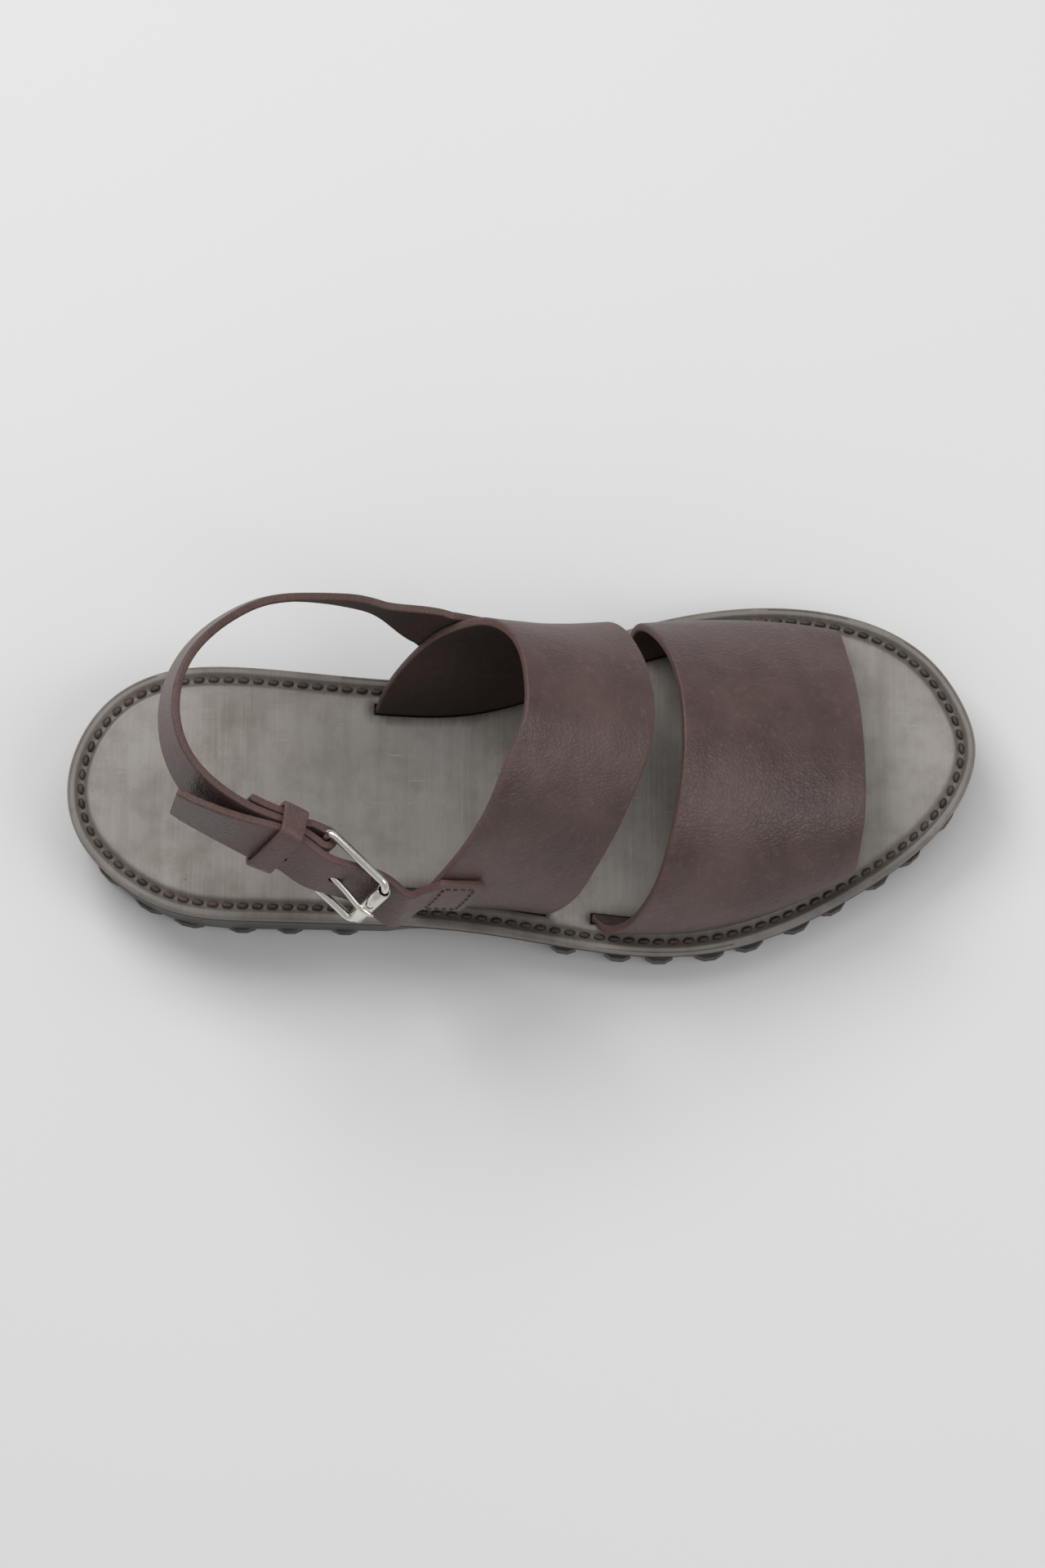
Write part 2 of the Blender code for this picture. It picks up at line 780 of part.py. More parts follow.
class Surface:
    """Points and normals on a strap's middle surface, by lengths along and across it."""

    def __init__(self, grid):
        self.grid = grid
        self.rows, self.lanes = grid.shape[:2]

    def at(self, over, across):
        """The point at a share of the way over and a share of the width; it may run past 0."""
        i = np.clip(over * (self.rows - 1), 0, self.rows - 2)
        j = across * (self.lanes - 1)
        i0 = int(i)
        j0 = int(np.clip(np.floor(j), 0, self.lanes - 2))
        a = i - i0
        b = j - j0
        g = self.grid
        low = g[i0, j0] * (1 - b) + g[i0, j0 + 1] * b
        high = g[i0 + 1, j0] * (1 - b) + g[i0 + 1, j0 + 1] * b
        return low * (1 - a) + high * a

    def slopes(self, over, across):
        """Change of place for a unit share over the strap and for one across it."""
        over_way = self.at(over + PROBE, across) - self.at(over - PROBE, across)
        across_way = self.at(over, across + PROBE) - self.at(over, across - PROBE)
        return over_way / (2 * PROBE), across_way / (2 * PROBE)

    def normal(self, over, across, outward):
        """The outward normal there."""
        found = unit(np.cross(*self.slopes(over, across)))
        return found if float(found @ outward) > 0 else -found


def sewn_rows(surface, seam, count):
    """Rows of a narrow strap lying on the instep strap, from its sewn end to the edge."""
    outward = np.array([0.0, seam["side"], SEAM_OUTWARD])
    over_way, across_way = surface.slopes(seam["over"], PROBE)
    normal = surface.normal(seam["over"], PROBE, outward)
    slant = radians(seam["slant"])
    inward = unit(across_way - normal * (across_way @ normal))
    upward = np.cross(inward, normal) * seam["side"]
    inward, upward = inward * cos(slant) - upward * sin(slant), upward * cos(slant) + inward * sin(slant)
    shares = np.linalg.pinv(np.array([over_way, across_way]).T)
    rows = []
    for back in np.linspace(SEWN_LENGTH, 0, count):
        row = []
        for lane in np.linspace(-0.5, 0.5, THIN_LANES + 1):
            over, across = shares @ (inward * back + upward * lane * HEEL_STRAP_WIDTH)
            over += seam["over"]
            lift = surface.normal(over, max(across, PROBE), outward) * LAYER_PITCH
            row.append(surface.at(over, across) + lift)
        rows.append(np.array(row))
    return rows


def sections(centres, leans):
    """Straight rows across a narrow strap, from its middle line and its lean."""
    way = unit(np.gradient(centres, axis=0))
    left = unit(np.stack([-way[:, 1], way[:, 0], np.zeros(len(way))], axis=1))
    tilt = np.radians(leans)[:, None]
    up = np.array([0.0, 0.0, 1.0]) * np.cos(tilt) + left * np.sin(tilt)
    across = unit(up - way * (up * way).sum(axis=1, keepdims=True))
    return across


def rows_across(centres, across):
    """Rows of points across a strap of the heel strap's width."""
    lanes = np.linspace(-0.5, 0.5, THIN_LANES + 1)
    return centres[:, None, :] + across[:, None, :] * lanes[None, :, None] * HEEL_STRAP_WIDTH


def buckle_axes():
    """Bar, roller and the axes of the buckle's plane: along, across and outward."""
    bar = place(BAR_PLACE, HEEL_STRAP_HEIGHT)
    aim = place(ROLLER_PLACE, HEEL_STRAP_HEIGHT)
    along_axis = unit(aim - bar)
    left = unit(np.array([-along_axis[1], along_axis[0], 0.0]))
    lean = radians(BUCKLE_LEAN)
    up = np.array([0.0, 0.0, 1.0]) * cos(lean) + left * sin(lean)
    across = unit(up - along_axis * float(up @ along_axis))
    outward = np.cross(along_axis, across)
    roller = bar + along_axis * BUCKLE_REACH
    return bar, roller, along_axis, across, outward


BAR, ROLLER, ALONG_AXIS, ACROSS_AXIS, OUT_AXIS = buckle_axes()
FOLD_RADIUS = WIRE_RADIUS + RUNNING_GAP + STRAP_THICK / 2


def heel_strap_run(surface):
    """Middle line, across and outward directions of the heel strap's free run."""
    sewn = sewn_rows(surface, MEDIAL_SEAM, 4)
    lead = [row.mean(axis=0) for row in sewn]
    table = [place(row, HEEL_STRAP_HEIGHT) for row in HEEL_RUN]
    leans = [row[3] for row in HEEL_RUN]
    first_across = unit(sewn[-1][-1] - sewn[-1][0])
    last = BAR + OUT_AXIS * FOLD_RADIUS
    beyond = last + ALONG_AXIS * FOLD_RADIUS
    points = [lead[1], lead[-1]] + table + [last, beyond]
    tilts = [leans[0], leans[0]] + leans + [BUCKLE_LEAN, BUCKLE_LEAN]
    knots = np.column_stack([points, tilts])
    dense = spline(knots, samples=900)
    start = int(np.argmin(np.linalg.norm(dense[:, :3] - lead[-1], axis=1)))
    end = int(np.argmin(np.linalg.norm(dense[:, :3] - last, axis=1)))
    dense = dense[start:end + 1]
    across = sections(dense[:, :3], dense[:, 3])
    share = np.linspace(0, 1, len(dense))
    start = eased(share / EASE_IN)
    end = eased((1 - share) / EASE_IN)
    across = first_across * (1 - start) + across * start
    across = unit(ACROSS_AXIS * (1 - end) + across * end)
    outward = unit(np.cross(np.gradient(dense[:, :3], axis=0), across))
    return sewn, dense[:, :3], across, outward


def eased(share):
    """A smooth step from 0 to 1, as a column."""
    share = np.clip(share, 0, 1)[..., None]
    return share * share * (3 - 2 * share)


def pick(count, total):
    """Evenly spaced indices."""
    return np.linspace(0, total - 1, count).astype(int)


def walked(points):
    """Length from the start, at each point."""
    return np.concatenate([[0.0], np.cumsum(np.linalg.norm(np.diff(points, axis=0), axis=1))])


def make_heel_strap(surface, home, guides, finish):
    """The heel strap, sewn on at the medial side and folded round the buckle's bar."""
    sewn, centres, across, outward = heel_strap_run(surface)
    keep = pick(FREE_ROWS, len(centres))[1:-1]
    rows = sewn + list(rows_across(centres[keep], across[keep]))
    angles = np.linspace(0, pi, FOLD_STEPS)
    bends = [BAR + FOLD_RADIUS * (OUT_AXIS * cos(a) + ALONG_AXIS * sin(a)) for a in angles]
    rows += list(rows_across(np.array(bends), np.repeat(ACROSS_AXIS[None], len(bends), axis=0)))
    walk = walked(centres)
    back = walk[-1] - walk
    for distance in np.linspace(RETURN_START, 1.0, RETURN_STEPS) * RETURN_LENGTH:
        spot = int(np.argmin(np.abs(back - distance)))
        settled = float(eased(distance / (RETURN_SETTLED * RETURN_LENGTH))[0])
        drop = 2 * FOLD_RADIUS * (1 - settled) + LAYER_PITCH * settled
        rows += list(rows_across(centres[spot:spot + 1] - outward[spot] * drop, across[spot:spot + 1]))
    strap = ribbon("heel_strap", np.array(rows), STRAP_THICK, home, finish)
    fold_reach = 2 * FOLD_RADIUS + STRAP_THICK
    opening = 2 * (PRONG_RADIUS + PRONG_SLOT_ROOM)
    slot = block_at("prong_slot", BAR, (PRONG_SLOT_LENGTH, opening, fold_reach * 2), guides)
    boolean(strap, slot, "DIFFERENCE")
    return strap


def block_at(name, centre, size, guides):
    """A box in the buckle's axes, used as a cutter."""
    bpy.ops.mesh.primitive_cube_add(size=1)
    box = bpy.context.active_object
    box.name = name
    turn = Matrix([ALONG_AXIS, ACROSS_AXIS, OUT_AXIS]).transposed()
    matrix = Matrix.Translation(Vector(centre)) @ turn.to_4x4() @ Matrix.Diagonal((*size, 1))
    box.data.transform(matrix)
    move_to(box, guides)
    return as_guide(box)


def move_to(item, home):
    """Put an object in one collection only."""
    for owner in list(item.users_collection):
        owner.objects.unlink(item)
    home.objects.link(item)


def billet_rows(surface):
    """Rows of the buckle strap, from its tip through the buckle to its sewn end."""
    _, centres, across, outward = heel_strap_run(surface)
    back = walked(centres)[-1] - walked(centres)
    places = np.linspace(TAIL_LENGTH, TAIL_END, TAIL_ROWS)
    spots = [int(np.argmin(np.abs(back - d))) for d in places]
    free = np.clip((places - TAIL_HELD) / (TAIL_LENGTH - TAIL_HELD), 0, 1)[:, None]
    tail = centres[spots] + outward[spots] * (LAYER_PITCH + TAIL_STAND_OFF * free ** 2)
    tail -= across[spots] * TAIL_DROP * free ** 2
    upright = across[spots] * (1 - TAIL_UPRIGHT * free) + np.array([0.0, 0.0, 1.0]) * TAIL_UPRIGHT * free
    way = unit(np.gradient(tail, axis=0))
    upright = unit(upright - way * (upright * way).sum(axis=1, keepdims=True))
    rows = list(rows_across(tail, upright))
    over_bar = BAR + OUT_AXIS * (FOLD_RADIUS + LAYER_PITCH)
    wrap = OUT_AXIS * cos(BILLET_WRAP) + ALONG_AXIS * sin(BILLET_WRAP)
    round_bar = BAR + wrap * (FOLD_RADIUS + LAYER_PITCH + RUNNING_GAP)
    depth = ROLLER_RADIUS + RUNNING_GAP + STRAP_THICK / 2 + ROLLER_SLACK
    under_roller = ROLLER - OUT_AXIS * depth
    past_roller = ROLLER + ALONG_AXIS * PAST_ROLLER - OUT_AXIS * (depth + ROLLER_SLACK)
    sewn = sewn_rows(surface, LATERAL_SEAM, 4)[::-1]
    seam = [row.mean(axis=0) for row in sewn]
    points = [tail[-4], tail[-2], over_bar, round_bar, under_roller, past_roller, seam[0], seam[2]]
    dense = spline(points, samples=900)
    start = int(np.argmin(np.linalg.norm(dense - over_bar, axis=1)))
    end = int(np.argmin(np.linalg.norm(dense - seam[0], axis=1)))
    dense = dense[start:end]
    share = np.linspace(0, 1, len(dense))
    free_across = sections(dense, np.full(len(dense), BUCKLE_LEAN))
    near = np.linalg.norm(dense - (BAR + ROLLER) / 2, axis=1) / BUCKLE_REACH
    square = np.clip(SQUARE_REACH - near, 0, 1)[:, None]
    free_across = free_across * (1 - square) + ACROSS_AXIS * square
    last_across = unit(sewn[0][-1] - sewn[0][0])
    end = eased((1 - share) / EASE_OUT)
    free_across = unit(last_across * (1 - end) + free_across * end)
    keep = pick(BILLET_FREE_ROWS + 1, len(dense))[:-1]
    rows += list(rows_across(dense[keep], free_across[keep]))
    return rows + sewn


PRONG_LEVEL = ROLLER_RADIUS + RUNNING_GAP + PRONG_RADIUS
# The prong's eye round the bar, in degrees from its outer side, and the rows of its shaft.
PRONG_COIL = range(250, -51, -30)
PRONG_SHARES = (0.35, 0.7, 1.0)


def prong_path():
    """The prong's wire: round the bar, then over the roller."""
    radius = WIRE_RADIUS + RUNNING_GAP + PRONG_RADIUS
    points = []
    for angle in np.radians(PRONG_COIL):
        points.append(BAR + radius * (OUT_AXIS * cos(angle) - ALONG_AXIS * sin(angle)))
    start = points[-1]
    target = ROLLER + OUT_AXIS * PRONG_LEVEL
    tip = target + ALONG_AXIS * PRONG_OVERHANG - OUT_AXIS * PRONG_RADIUS
    reach = target - start
    points += [start + reach * share for share in PRONG_SHARES]
    points.append(tip)
    return points


def tube(name, points, radius, home, finish, cyclic=False):
    """A wire along a path of points."""
    curve = bpy.data.curves.new(name, "CURVE")
    curve.dimensions = "3D"
    curve.bevel_depth = radius
    curve.bevel_resolution = 2
    curve.use_fill_caps = True
    path = curve.splines.new("POLY")
    path.points.add(len(points) - 1)
    for point, spot in zip(path.points, points):
        point.co = (*map(float, spot), 1.0)
    path.use_cyclic_u = cyclic
    made = bpy.data.objects.new(name, curve)
    home.objects.link(made)
    curve.materials.append(finish)
    return made


def rounded_loop(half_long, half_wide, radii, steps=4):
    """Corner-rounded rectangle: long and wide offsets, rear and front corner radii."""
    path = []
    corners = [(1, 1, radii[1]), (-1, 1, radii[0]), (-1, -1, radii[0]), (1, -1, radii[1])]
    for number, (front, up, radius) in enumerate(corners):
        middle = (front * (half_long - radius), up * (half_wide - radius))
        for step in range(steps + 1):
            angle = pi / 2 * (number + step / steps)
            path.append((middle[0] + radius * cos(angle), middle[1] + radius * sin(angle)))
    return path


def make_buckle(home, finish):
    """Frame, roller and prong of the buckle."""
    middle = (BAR + ROLLER) / 2
    loop = rounded_loop(BUCKLE_REACH / 2, BUCKLE_SIDE, (REAR_CORNER, FORE_CORNER))
    path = [middle + ALONG_AXIS * a + ACROSS_AXIS * b for a, b in loop]
    frame = tube("buckle_frame", path, WIRE_RADIUS, home, finish, cyclic=True)
    half = BUCKLE_SIDE - FORE_CORNER - RUNNING_GAP
    ring = np.linspace(0, 2 * pi, ROLLER_SIDES + 1)[:, None]
    circle = (ALONG_AXIS * np.cos(ring) + OUT_AXIS * np.sin(ring)) * (ROLLER_RADIUS - ROLLER_WALL / 2)
    grid = np.array([ROLLER + circle + ACROSS_AXIS * end for end in (-half, half)])
    roller = ribbon("buckle_roller", grid, ROLLER_WALL, home, finish)
    prong = tube("buckle_prong", prong_path(), PRONG_RADIUS, home, finish)
    return frame, roller, prong


def make_billet(surface, home, guides, finish):
    """The buckle strap, with its punched holes."""
    rows = billet_rows(surface)
    billet = ribbon("buckle_strap", np.array(rows), STRAP_THICK, home, finish)
    path = prong_path()
    start = Vector(path[len(PRONG_COIL) - 1])
    end = Vector(path[-2])
    way = (end - start).normalized()
    bpy.ops.mesh.primitive_cylinder_add(vertices=ROLLER_SIDES, radius=PRONG_RADIUS + HOLE_ROOM,
                                        depth=(end - start).length + 2 * PRONG_RADIUS)
    hole = bpy.context.active_object
    hole.name = "prong_hole"
    turn = way.to_track_quat("Z", "Y").to_matrix().to_4x4()
    hole.data.transform(Matrix.Translation((start + end) / 2) @ turn)
    move_to(hole, guides)
    boolean(billet, as_guide(hole), "DIFFERENCE")
    return billet


def make_keeper(surface, home, finish):
    """The leather loop that holds the buckle strap's tip."""
    _, centres, across, outward = heel_strap_run(surface)
    back = walked(centres)[-1] - walked(centres)
    half_wide = HEEL_STRAP_WIDTH / 2 + KEEPER_ROOM + KEEPER_THICK / 2
    half_deep = LAYER_PITCH + STRAP_THICK / 2 + KEEPER_ROOM + KEEPER_THICK / 2
    loop = rounded_loop(half_deep, half_wide, (KEEPER_CORNER, KEEPER_CORNER), 3)
    loop.append(loop[0])
    grid = []
    for end in (KEEPER_WIDTH / 2, 0.0, -KEEPER_WIDTH / 2):
        spot = int(np.argmin(np.abs(back - KEEPER_BACK - end)))
        grid.append([centres[spot] + outward[spot] * a + across[spot] * b for a, b in loop])
    return ribbon("keeper", np.array(grid), KEEPER_THICK, home, finish)


def main():
    """Build the sandal."""
    clear_scene()
    home = collection("leather_sandal")
    guides = collection("cutters")
    rubber = material("rubber", (0.045, 0.043, 0.041), 0.62)
    bed_leather = material("footbed_leather", (0.25, 0.23, 0.21), 0.45)
    strap_leather = material("strap_leather", (0.135, 0.085, 0.075), 0.42)
    steel = material("buckle_metal", (0.78, 0.76, 0.72), 0.16, 1.0)
    smooth(make_outsole(home, guides, rubber))
    smooth(make_footbed(home, guides, bed_leather))
    front = wide_strap_grid(FRONT_REAR_EDGE, FRONT_FORE_EDGE, FRONT_STRAP_HEIGHT,
                            FRONT_SLOTS, STRAP_STEPS, STRAP_LANES + 1)
    smooth(ribbon("front_strap", front, STRAP_THICK, home, strap_leather))
    instep_tables = (INSTEP_REAR_EDGE, INSTEP_FORE_EDGE, INSTEP_STRAP_HEIGHT, INSTEP_SLOTS)
    instep = wide_strap_grid(*instep_tables, STRAP_STEPS, STRAP_LANES + 1)
    smooth(ribbon("instep_strap", instep, STRAP_THICK, home, strap_leather))
    surface = Surface(instep)
    smooth(make_heel_strap(surface, home, guides, strap_leather))
    smooth(make_billet(surface, home, guides, strap_leather))
    smooth(make_keeper(surface, home, strap_leather))
    make_buckle(home, steel)


main()
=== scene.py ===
"""Looks of the right-foot leather sandal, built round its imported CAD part."""
from math import cos, pi, radians, sin, sqrt

import bmesh
import bpy
import numpy as np
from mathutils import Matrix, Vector, noise


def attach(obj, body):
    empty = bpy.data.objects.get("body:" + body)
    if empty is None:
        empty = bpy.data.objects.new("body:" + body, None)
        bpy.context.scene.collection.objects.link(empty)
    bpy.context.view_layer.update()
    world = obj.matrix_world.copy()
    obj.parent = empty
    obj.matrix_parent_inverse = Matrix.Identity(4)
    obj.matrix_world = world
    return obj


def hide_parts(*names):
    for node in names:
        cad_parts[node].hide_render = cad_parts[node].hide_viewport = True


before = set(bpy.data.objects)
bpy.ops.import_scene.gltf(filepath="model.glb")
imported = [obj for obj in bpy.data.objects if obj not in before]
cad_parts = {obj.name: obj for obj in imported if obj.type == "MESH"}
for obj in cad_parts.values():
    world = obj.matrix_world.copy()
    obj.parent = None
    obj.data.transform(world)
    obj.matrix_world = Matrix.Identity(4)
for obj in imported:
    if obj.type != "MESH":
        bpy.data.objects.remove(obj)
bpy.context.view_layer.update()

# Driving dimensions of the sole, in metres
LENGTH = 0.290
BALL_WIDTH = 0.1143
HEEL_HEIGHT = 0.0305
BALL_HEIGHT = 0.0185
TOE_SPRING = 0.0067
FOOTBED_THICK = 0.0034

# Driving dimensions of the straps
STRAP_THICK = 0.0026
SLOT_INSET = 0.0100
SLOT_CLEARANCE = 0.0005
FRONT_STRAP_HEIGHT = 0.0670
INSTEP_STRAP_HEIGHT = 0.0940
HEEL_STRAP_HEIGHT = 0.0980
HEEL_STRAP_WIDTH = 0.0195
SEWN_LENGTH = 0.0135
SEWN_GAP = 0.0004
RETURN_LENGTH = 0.0260
KEEPER_WIDTH = 0.0085
KEEPER_THICK = 0.0016
KEEPER_ROOM = 0.0006
KEEPER_CORNER = 0.0020

# Driving dimensions of the buckle
WIRE_RADIUS = 0.00135
BUCKLE_REACH = 0.0244
BUCKLE_SIDE = 0.0127
ROLLER_RADIUS = 0.0024
ROLLER_WALL = 0.0006
PRONG_RADIUS = 0.0010
PRONG_OVERHANG = 0.0032
PRONG_SLOT_LENGTH = 0.0150
PRONG_SLOT_ROOM = 0.0013
REAR_CORNER = 0.0024
FORE_CORNER = 0.0030
RUNNING_GAP = 0.0003
HOLE_ROOM = 0.0006
ROLLER_SLACK = 0.0010
PAST_ROLLER = 0.0072

# Plan outline of the footbed's edge, from the back of the heel round the medial side.
# Columns: along, a share of LENGTH; across, a share of BALL_WIDTH, medial side positive.
OUTLINE = [
    (0.0000, -0.072),
    (0.0134, 0.098),
    (0.0493, 0.217),
    (0.1050, 0.287),
    (0.1750, 0.303),
    (0.2650, 0.288),
    (0.3570, 0.272),
    (0.4300, 0.276),
    (0.5150, 0.338),
    (0.6000, 0.420),
    (0.6700, 0.471),
    (0.7410, 0.497),
    (0.8200, 0.493),
    (0.8920, 0.446),
    (0.9480, 0.352),
    (0.9850, 0.215),
    (0.9990, 0.087),
    (0.9820, -0.068),
    (0.9360, -0.204),
    (0.8720, -0.317),
    (0.7860, -0.430),
    (0.7060, -0.489),
    (0.6320, -0.499),
    (0.5400, -0.474),
    (0.4410, -0.438),
    (0.3300, -0.423),
    (0.2090, -0.418),
    (0.1160, -0.392),
    (0.0500, -0.298),
    (0.0130, -0.187),
]

# Front strap. Columns: along, across, height (a share of FRONT_STRAP_HEIGHT), from the
# medial slot over the foot to the lateral slot.
FRONT_REAR_EDGE = [
    (0.621, 0.402, 0.440),
    (0.640, 0.365, 0.680),
    (0.657, 0.284, 0.830),
    (0.668, 0.180, 0.930),
    (0.672, 0.069, 0.985),
    (0.672, -0.021, 1.000),
    (0.667, -0.136, 0.978),
    (0.657, -0.256, 0.899),
    (0.641, -0.367, 0.730),
    (0.624, -0.418, 0.570),
    (0.607, -0.438, 0.430),
    (0.587, -0.432, 0.345),
]
FRONT_FORE_EDGE = [
    (0.846, 0.412, 0.340),
    (0.856, 0.340, 0.470),
    (0.865, 0.217, 0.590),
    (0.870, 0.090, 0.645),
    (0.872, -0.032, 0.668),
    (0.871, -0.149, 0.645),
    (0.866, -0.240, 0.545),
    (0.860, -0.283, 0.420),
]

# Instep strap, likewise. Heights are shares of INSTEP_STRAP_HEIGHT.
INSTEP_REAR_EDGE = [
    (0.359, 0.242, 0.484),
    (0.388, 0.301, 0.585),
    (0.411, 0.327, 0.660),
    (0.434, 0.336, 0.725),
    (0.458, 0.330, 0.795),
    (0.488, 0.268, 0.885),
    (0.502, 0.138, 0.968),
    (0.500, 0.016, 1.000),
    (0.487, -0.069, 0.989),
    (0.465, -0.204, 0.935),
    (0.443, -0.291, 0.860),
    (0.418, -0.353, 0.750),
    (0.391, -0.392, 0.560),
    (0.376, -0.384, 0.400),
]
INSTEP_FORE_EDGE = [
    (0.522, 0.275, 0.360),
    (0.553, 0.337, 0.465),
    (0.595, 0.368, 0.560),
    (0.625, 0.268, 0.680),
    (0.637, 0.166, 0.745),
    (0.640, 0.088, 0.765),
    (0.637, 0.000, 0.768),
    (0.622, -0.112, 0.742),
    (0.600, -0.230, 0.675),
    (0.578, -0.315, 0.575),
    (0.556, -0.378, 0.455),
    (0.534, -0.395, 0.345),
]

# Where each wide strap goes through the footbed: rear and front ends of the slots,
# shares of LENGTH, on the medial and the lateral side.
FRONT_SLOTS = {"medial": (0.614, 0.838), "lateral": (0.576, 0.848)}
INSTEP_SLOTS = {"medial": (0.338, 0.512), "lateral": (0.372, 0.524)}
# Depths of a strap's rows in its slot, from the end of the strap, shares of the footbed's
# thickness: the last row stands proud, so that the strap leans only above the footbed.
SLOT_DEPTHS = [1.0, 0.4, -0.2]
# Share of the strap over which its edge leaves the slot's own curve.
SLOT_FADE = 0.42
SLOT_FADE_POWER = 1.5

# Heel strap's free run round the ankle. Columns: along, across, height (a share of
# HEEL_STRAP_HEIGHT), lean (degrees that its top edge tilts inward).
HEEL_RUN = [
    (0.338, 0.392, 0.679, 7),
    (0.275, 0.393, 0.781, 14),
    (0.224, 0.363, 0.857, 16),
    (0.180, 0.293, 0.918, 17),
    (0.143, 0.183, 0.969, 17),
    (0.127, 0.031, 1.000, 17),
    (0.140, -0.108, 0.990, 18),
    (0.180, -0.217, 0.944, 21),
    (0.225, -0.278, 0.880, 26),
]


# Buckle: the middle of its bar, the middle of its roller, and the lean of its plane.
BAR_PLACE = (0.277, -0.312, 0.796)
ROLLER_PLACE = (0.338, -0.452, 0.745)
BUCKLE_LEAN = 29
BILLET_WRAP = radians(30)
KEEPER_BACK = 0.0110
# The buckle strap's tail beyond the bar: its length, how much of it lies on the heel
# strap, and how far its tip stands off, drops and turns upright.
TAIL_LENGTH = 0.0420
TAIL_HELD = 0.0110
TAIL_STAND_OFF = 0.0046
TAIL_DROP = 0.0032
TAIL_UPRIGHT = 0.35

# Sewn ends on the instep strap: share of the way over the strap where the narrow strap's
# middle crosses the rear edge, the side, and the slant against the strap's width (degrees).
MEDIAL_SEAM = {"over": 0.237, "slant": 17, "side": 1}
LATERAL_SEAM = {"over": 0.793, "slant": 10, "side": -1}

# Mesh steps
OUTLINE_STEPS = 720
STRAP_STEPS = 30
STRAP_LANES = 8
THIN_LANES = 20


def spline(points, closed=False, samples=600):
    """Dense points on a cubic spline through the given points, evenly spaced by length."""
    knots = np.array(points, float)
    if closed:
        knots = np.vstack([knots, knots[:1]])
    steps = np.linalg.norm(np.diff(knots[:, :3], axis=0), axis=1)
    times = np.concatenate([[0.0], np.cumsum(steps)])
    count = len(knots)
    matrix = np.zeros((count, count))
    right = np.zeros((count, knots.shape[1]))
    for i in range(1, count - 1):
        matrix[i, i - 1:i + 2] = steps[i - 1], 2 * (steps[i - 1] + steps[i]), steps[i]
        slope_out = (knots[i + 1] - knots[i]) / steps[i]
        slope_in = (knots[i] - knots[i - 1]) / steps[i - 1]
        right[i] = 6 * (slope_out - slope_in)
    if closed:
        matrix[0, 0] = 2 * (steps[-1] + steps[0])
        matrix[0, 1] = steps[0]
        matrix[0, -2] = steps[-1]
        right[0] = 6 * ((knots[1] - knots[0]) / steps[0] - (knots[0] - knots[-2]) / steps[-1])
        matrix[-1, 0] = 1
        matrix[-1, -1] = -1
    else:
        matrix[0, 0] = 1
        matrix[-1, -1] = 1
    bend = np.linalg.solve(matrix, right)
    fine = np.linspace(0, times[-1], samples * 4)
    seat = np.clip(np.searchsorted(times, fine, side="right") - 1, 0, count - 2)
    width = steps[seat][:, None]
    ahead = (times[seat + 1] - fine)[:, None]
    behind = (fine - times[seat])[:, None]
    curve = (bend[seat] * ahead ** 3 + bend[seat + 1] * behind ** 3) / (6 * width)
    curve += (knots[seat] / width - bend[seat] * width / 6) * ahead
    curve += (knots[seat + 1] / width - bend[seat + 1] * width / 6) * behind
    return resample(curve, samples + 1 if closed else samples)


def resample(curve, count):
    """The given polyline at evenly spaced lengths."""
    walk = np.linalg.norm(np.diff(curve[:, :3], axis=0), axis=1)
    walk = np.concatenate([[0.0], np.cumsum(walk)])
    return at_length(curve, walk, np.linspace(0, walk[-1], count))


def at_length(curve, walk, wanted):
    """Columns of a polyline at the wanted lengths along it."""
    return np.stack([np.interp(wanted, walk, column) for column in curve.T], axis=1)


def unit(vector):
    """The vector at length one."""
    return vector / np.linalg.norm(vector, axis=-1, keepdims=True)


# The sole's plan
def plan_outline():
    """Outline points and outward normals, centred on the footprint."""
    table = np.array(OUTLINE) * (LENGTH, BALL_WIDTH)
    points = spline(table, closed=True, samples=OUTLINE_STEPS)[:-1]
    low = points.min(axis=0)
    high = points.max(axis=0)
    points = points - (low + high) / 2
    ahead = np.roll(points, -3, axis=0)
    behind = np.roll(points, 3, axis=0)
    way = unit(ahead - behind)
    normals = np.stack([-way[:, 1], way[:, 0]], axis=1)
    return points, normals, (low + high) / 2


RIM, RIM_NORMAL, PLAN_CENTRE = plan_outline()
HEEL_TIP = int(np.argmin(RIM[:, 0]))
TOE_TIP = int(np.argmax(RIM[:, 0]))
BACK = RIM[HEEL_TIP, 0]


def side_indices(side):
    """Outline indices from the heel's tip to the toe's tip on one side."""
    if side > 0:
        return np.arange(HEEL_TIP, HEEL_TIP + (TOE_TIP - HEEL_TIP) % OUTLINE_STEPS + 1) % OUTLINE_STEPS
    back = np.arange(TOE_TIP, TOE_TIP + (HEEL_TIP - TOE_TIP) % OUTLINE_STEPS + 1) % OUTLINE_STEPS
    return back[::-1]


def rim_at(x, side, inset=0.0):
    """Points of the outline, set in by a distance, at places along the sole."""
    index = side_indices(side)
    inner = RIM[index] - RIM_NORMAL[index] * inset
    return np.interp(x, inner[:, 0], inner[:, 1])


def along(share):
    """A place along the sole, from the back of the heel."""
    return BACK + share * LENGTH


def place(row, height):
    """A point from shares of length, width and a height."""
    return np.array([along(row[0]), row[1] * BALL_WIDTH - PLAN_CENTRE[1], row[2] * height])


# The sole's heights
FALL_END = 0.72
FALL_POWER = 1.35
SPRING_START = 0.828
BREAST_AT = 0.338
TREAD_AT = 0.495


def toe_rise(x):
    """How far the toe is sprung off the ground."""
    share = np.clip((x - along(SPRING_START)) / ((1 - SPRING_START) * LENGTH), 0, None)
    return TOE_SPRING * share ** 2


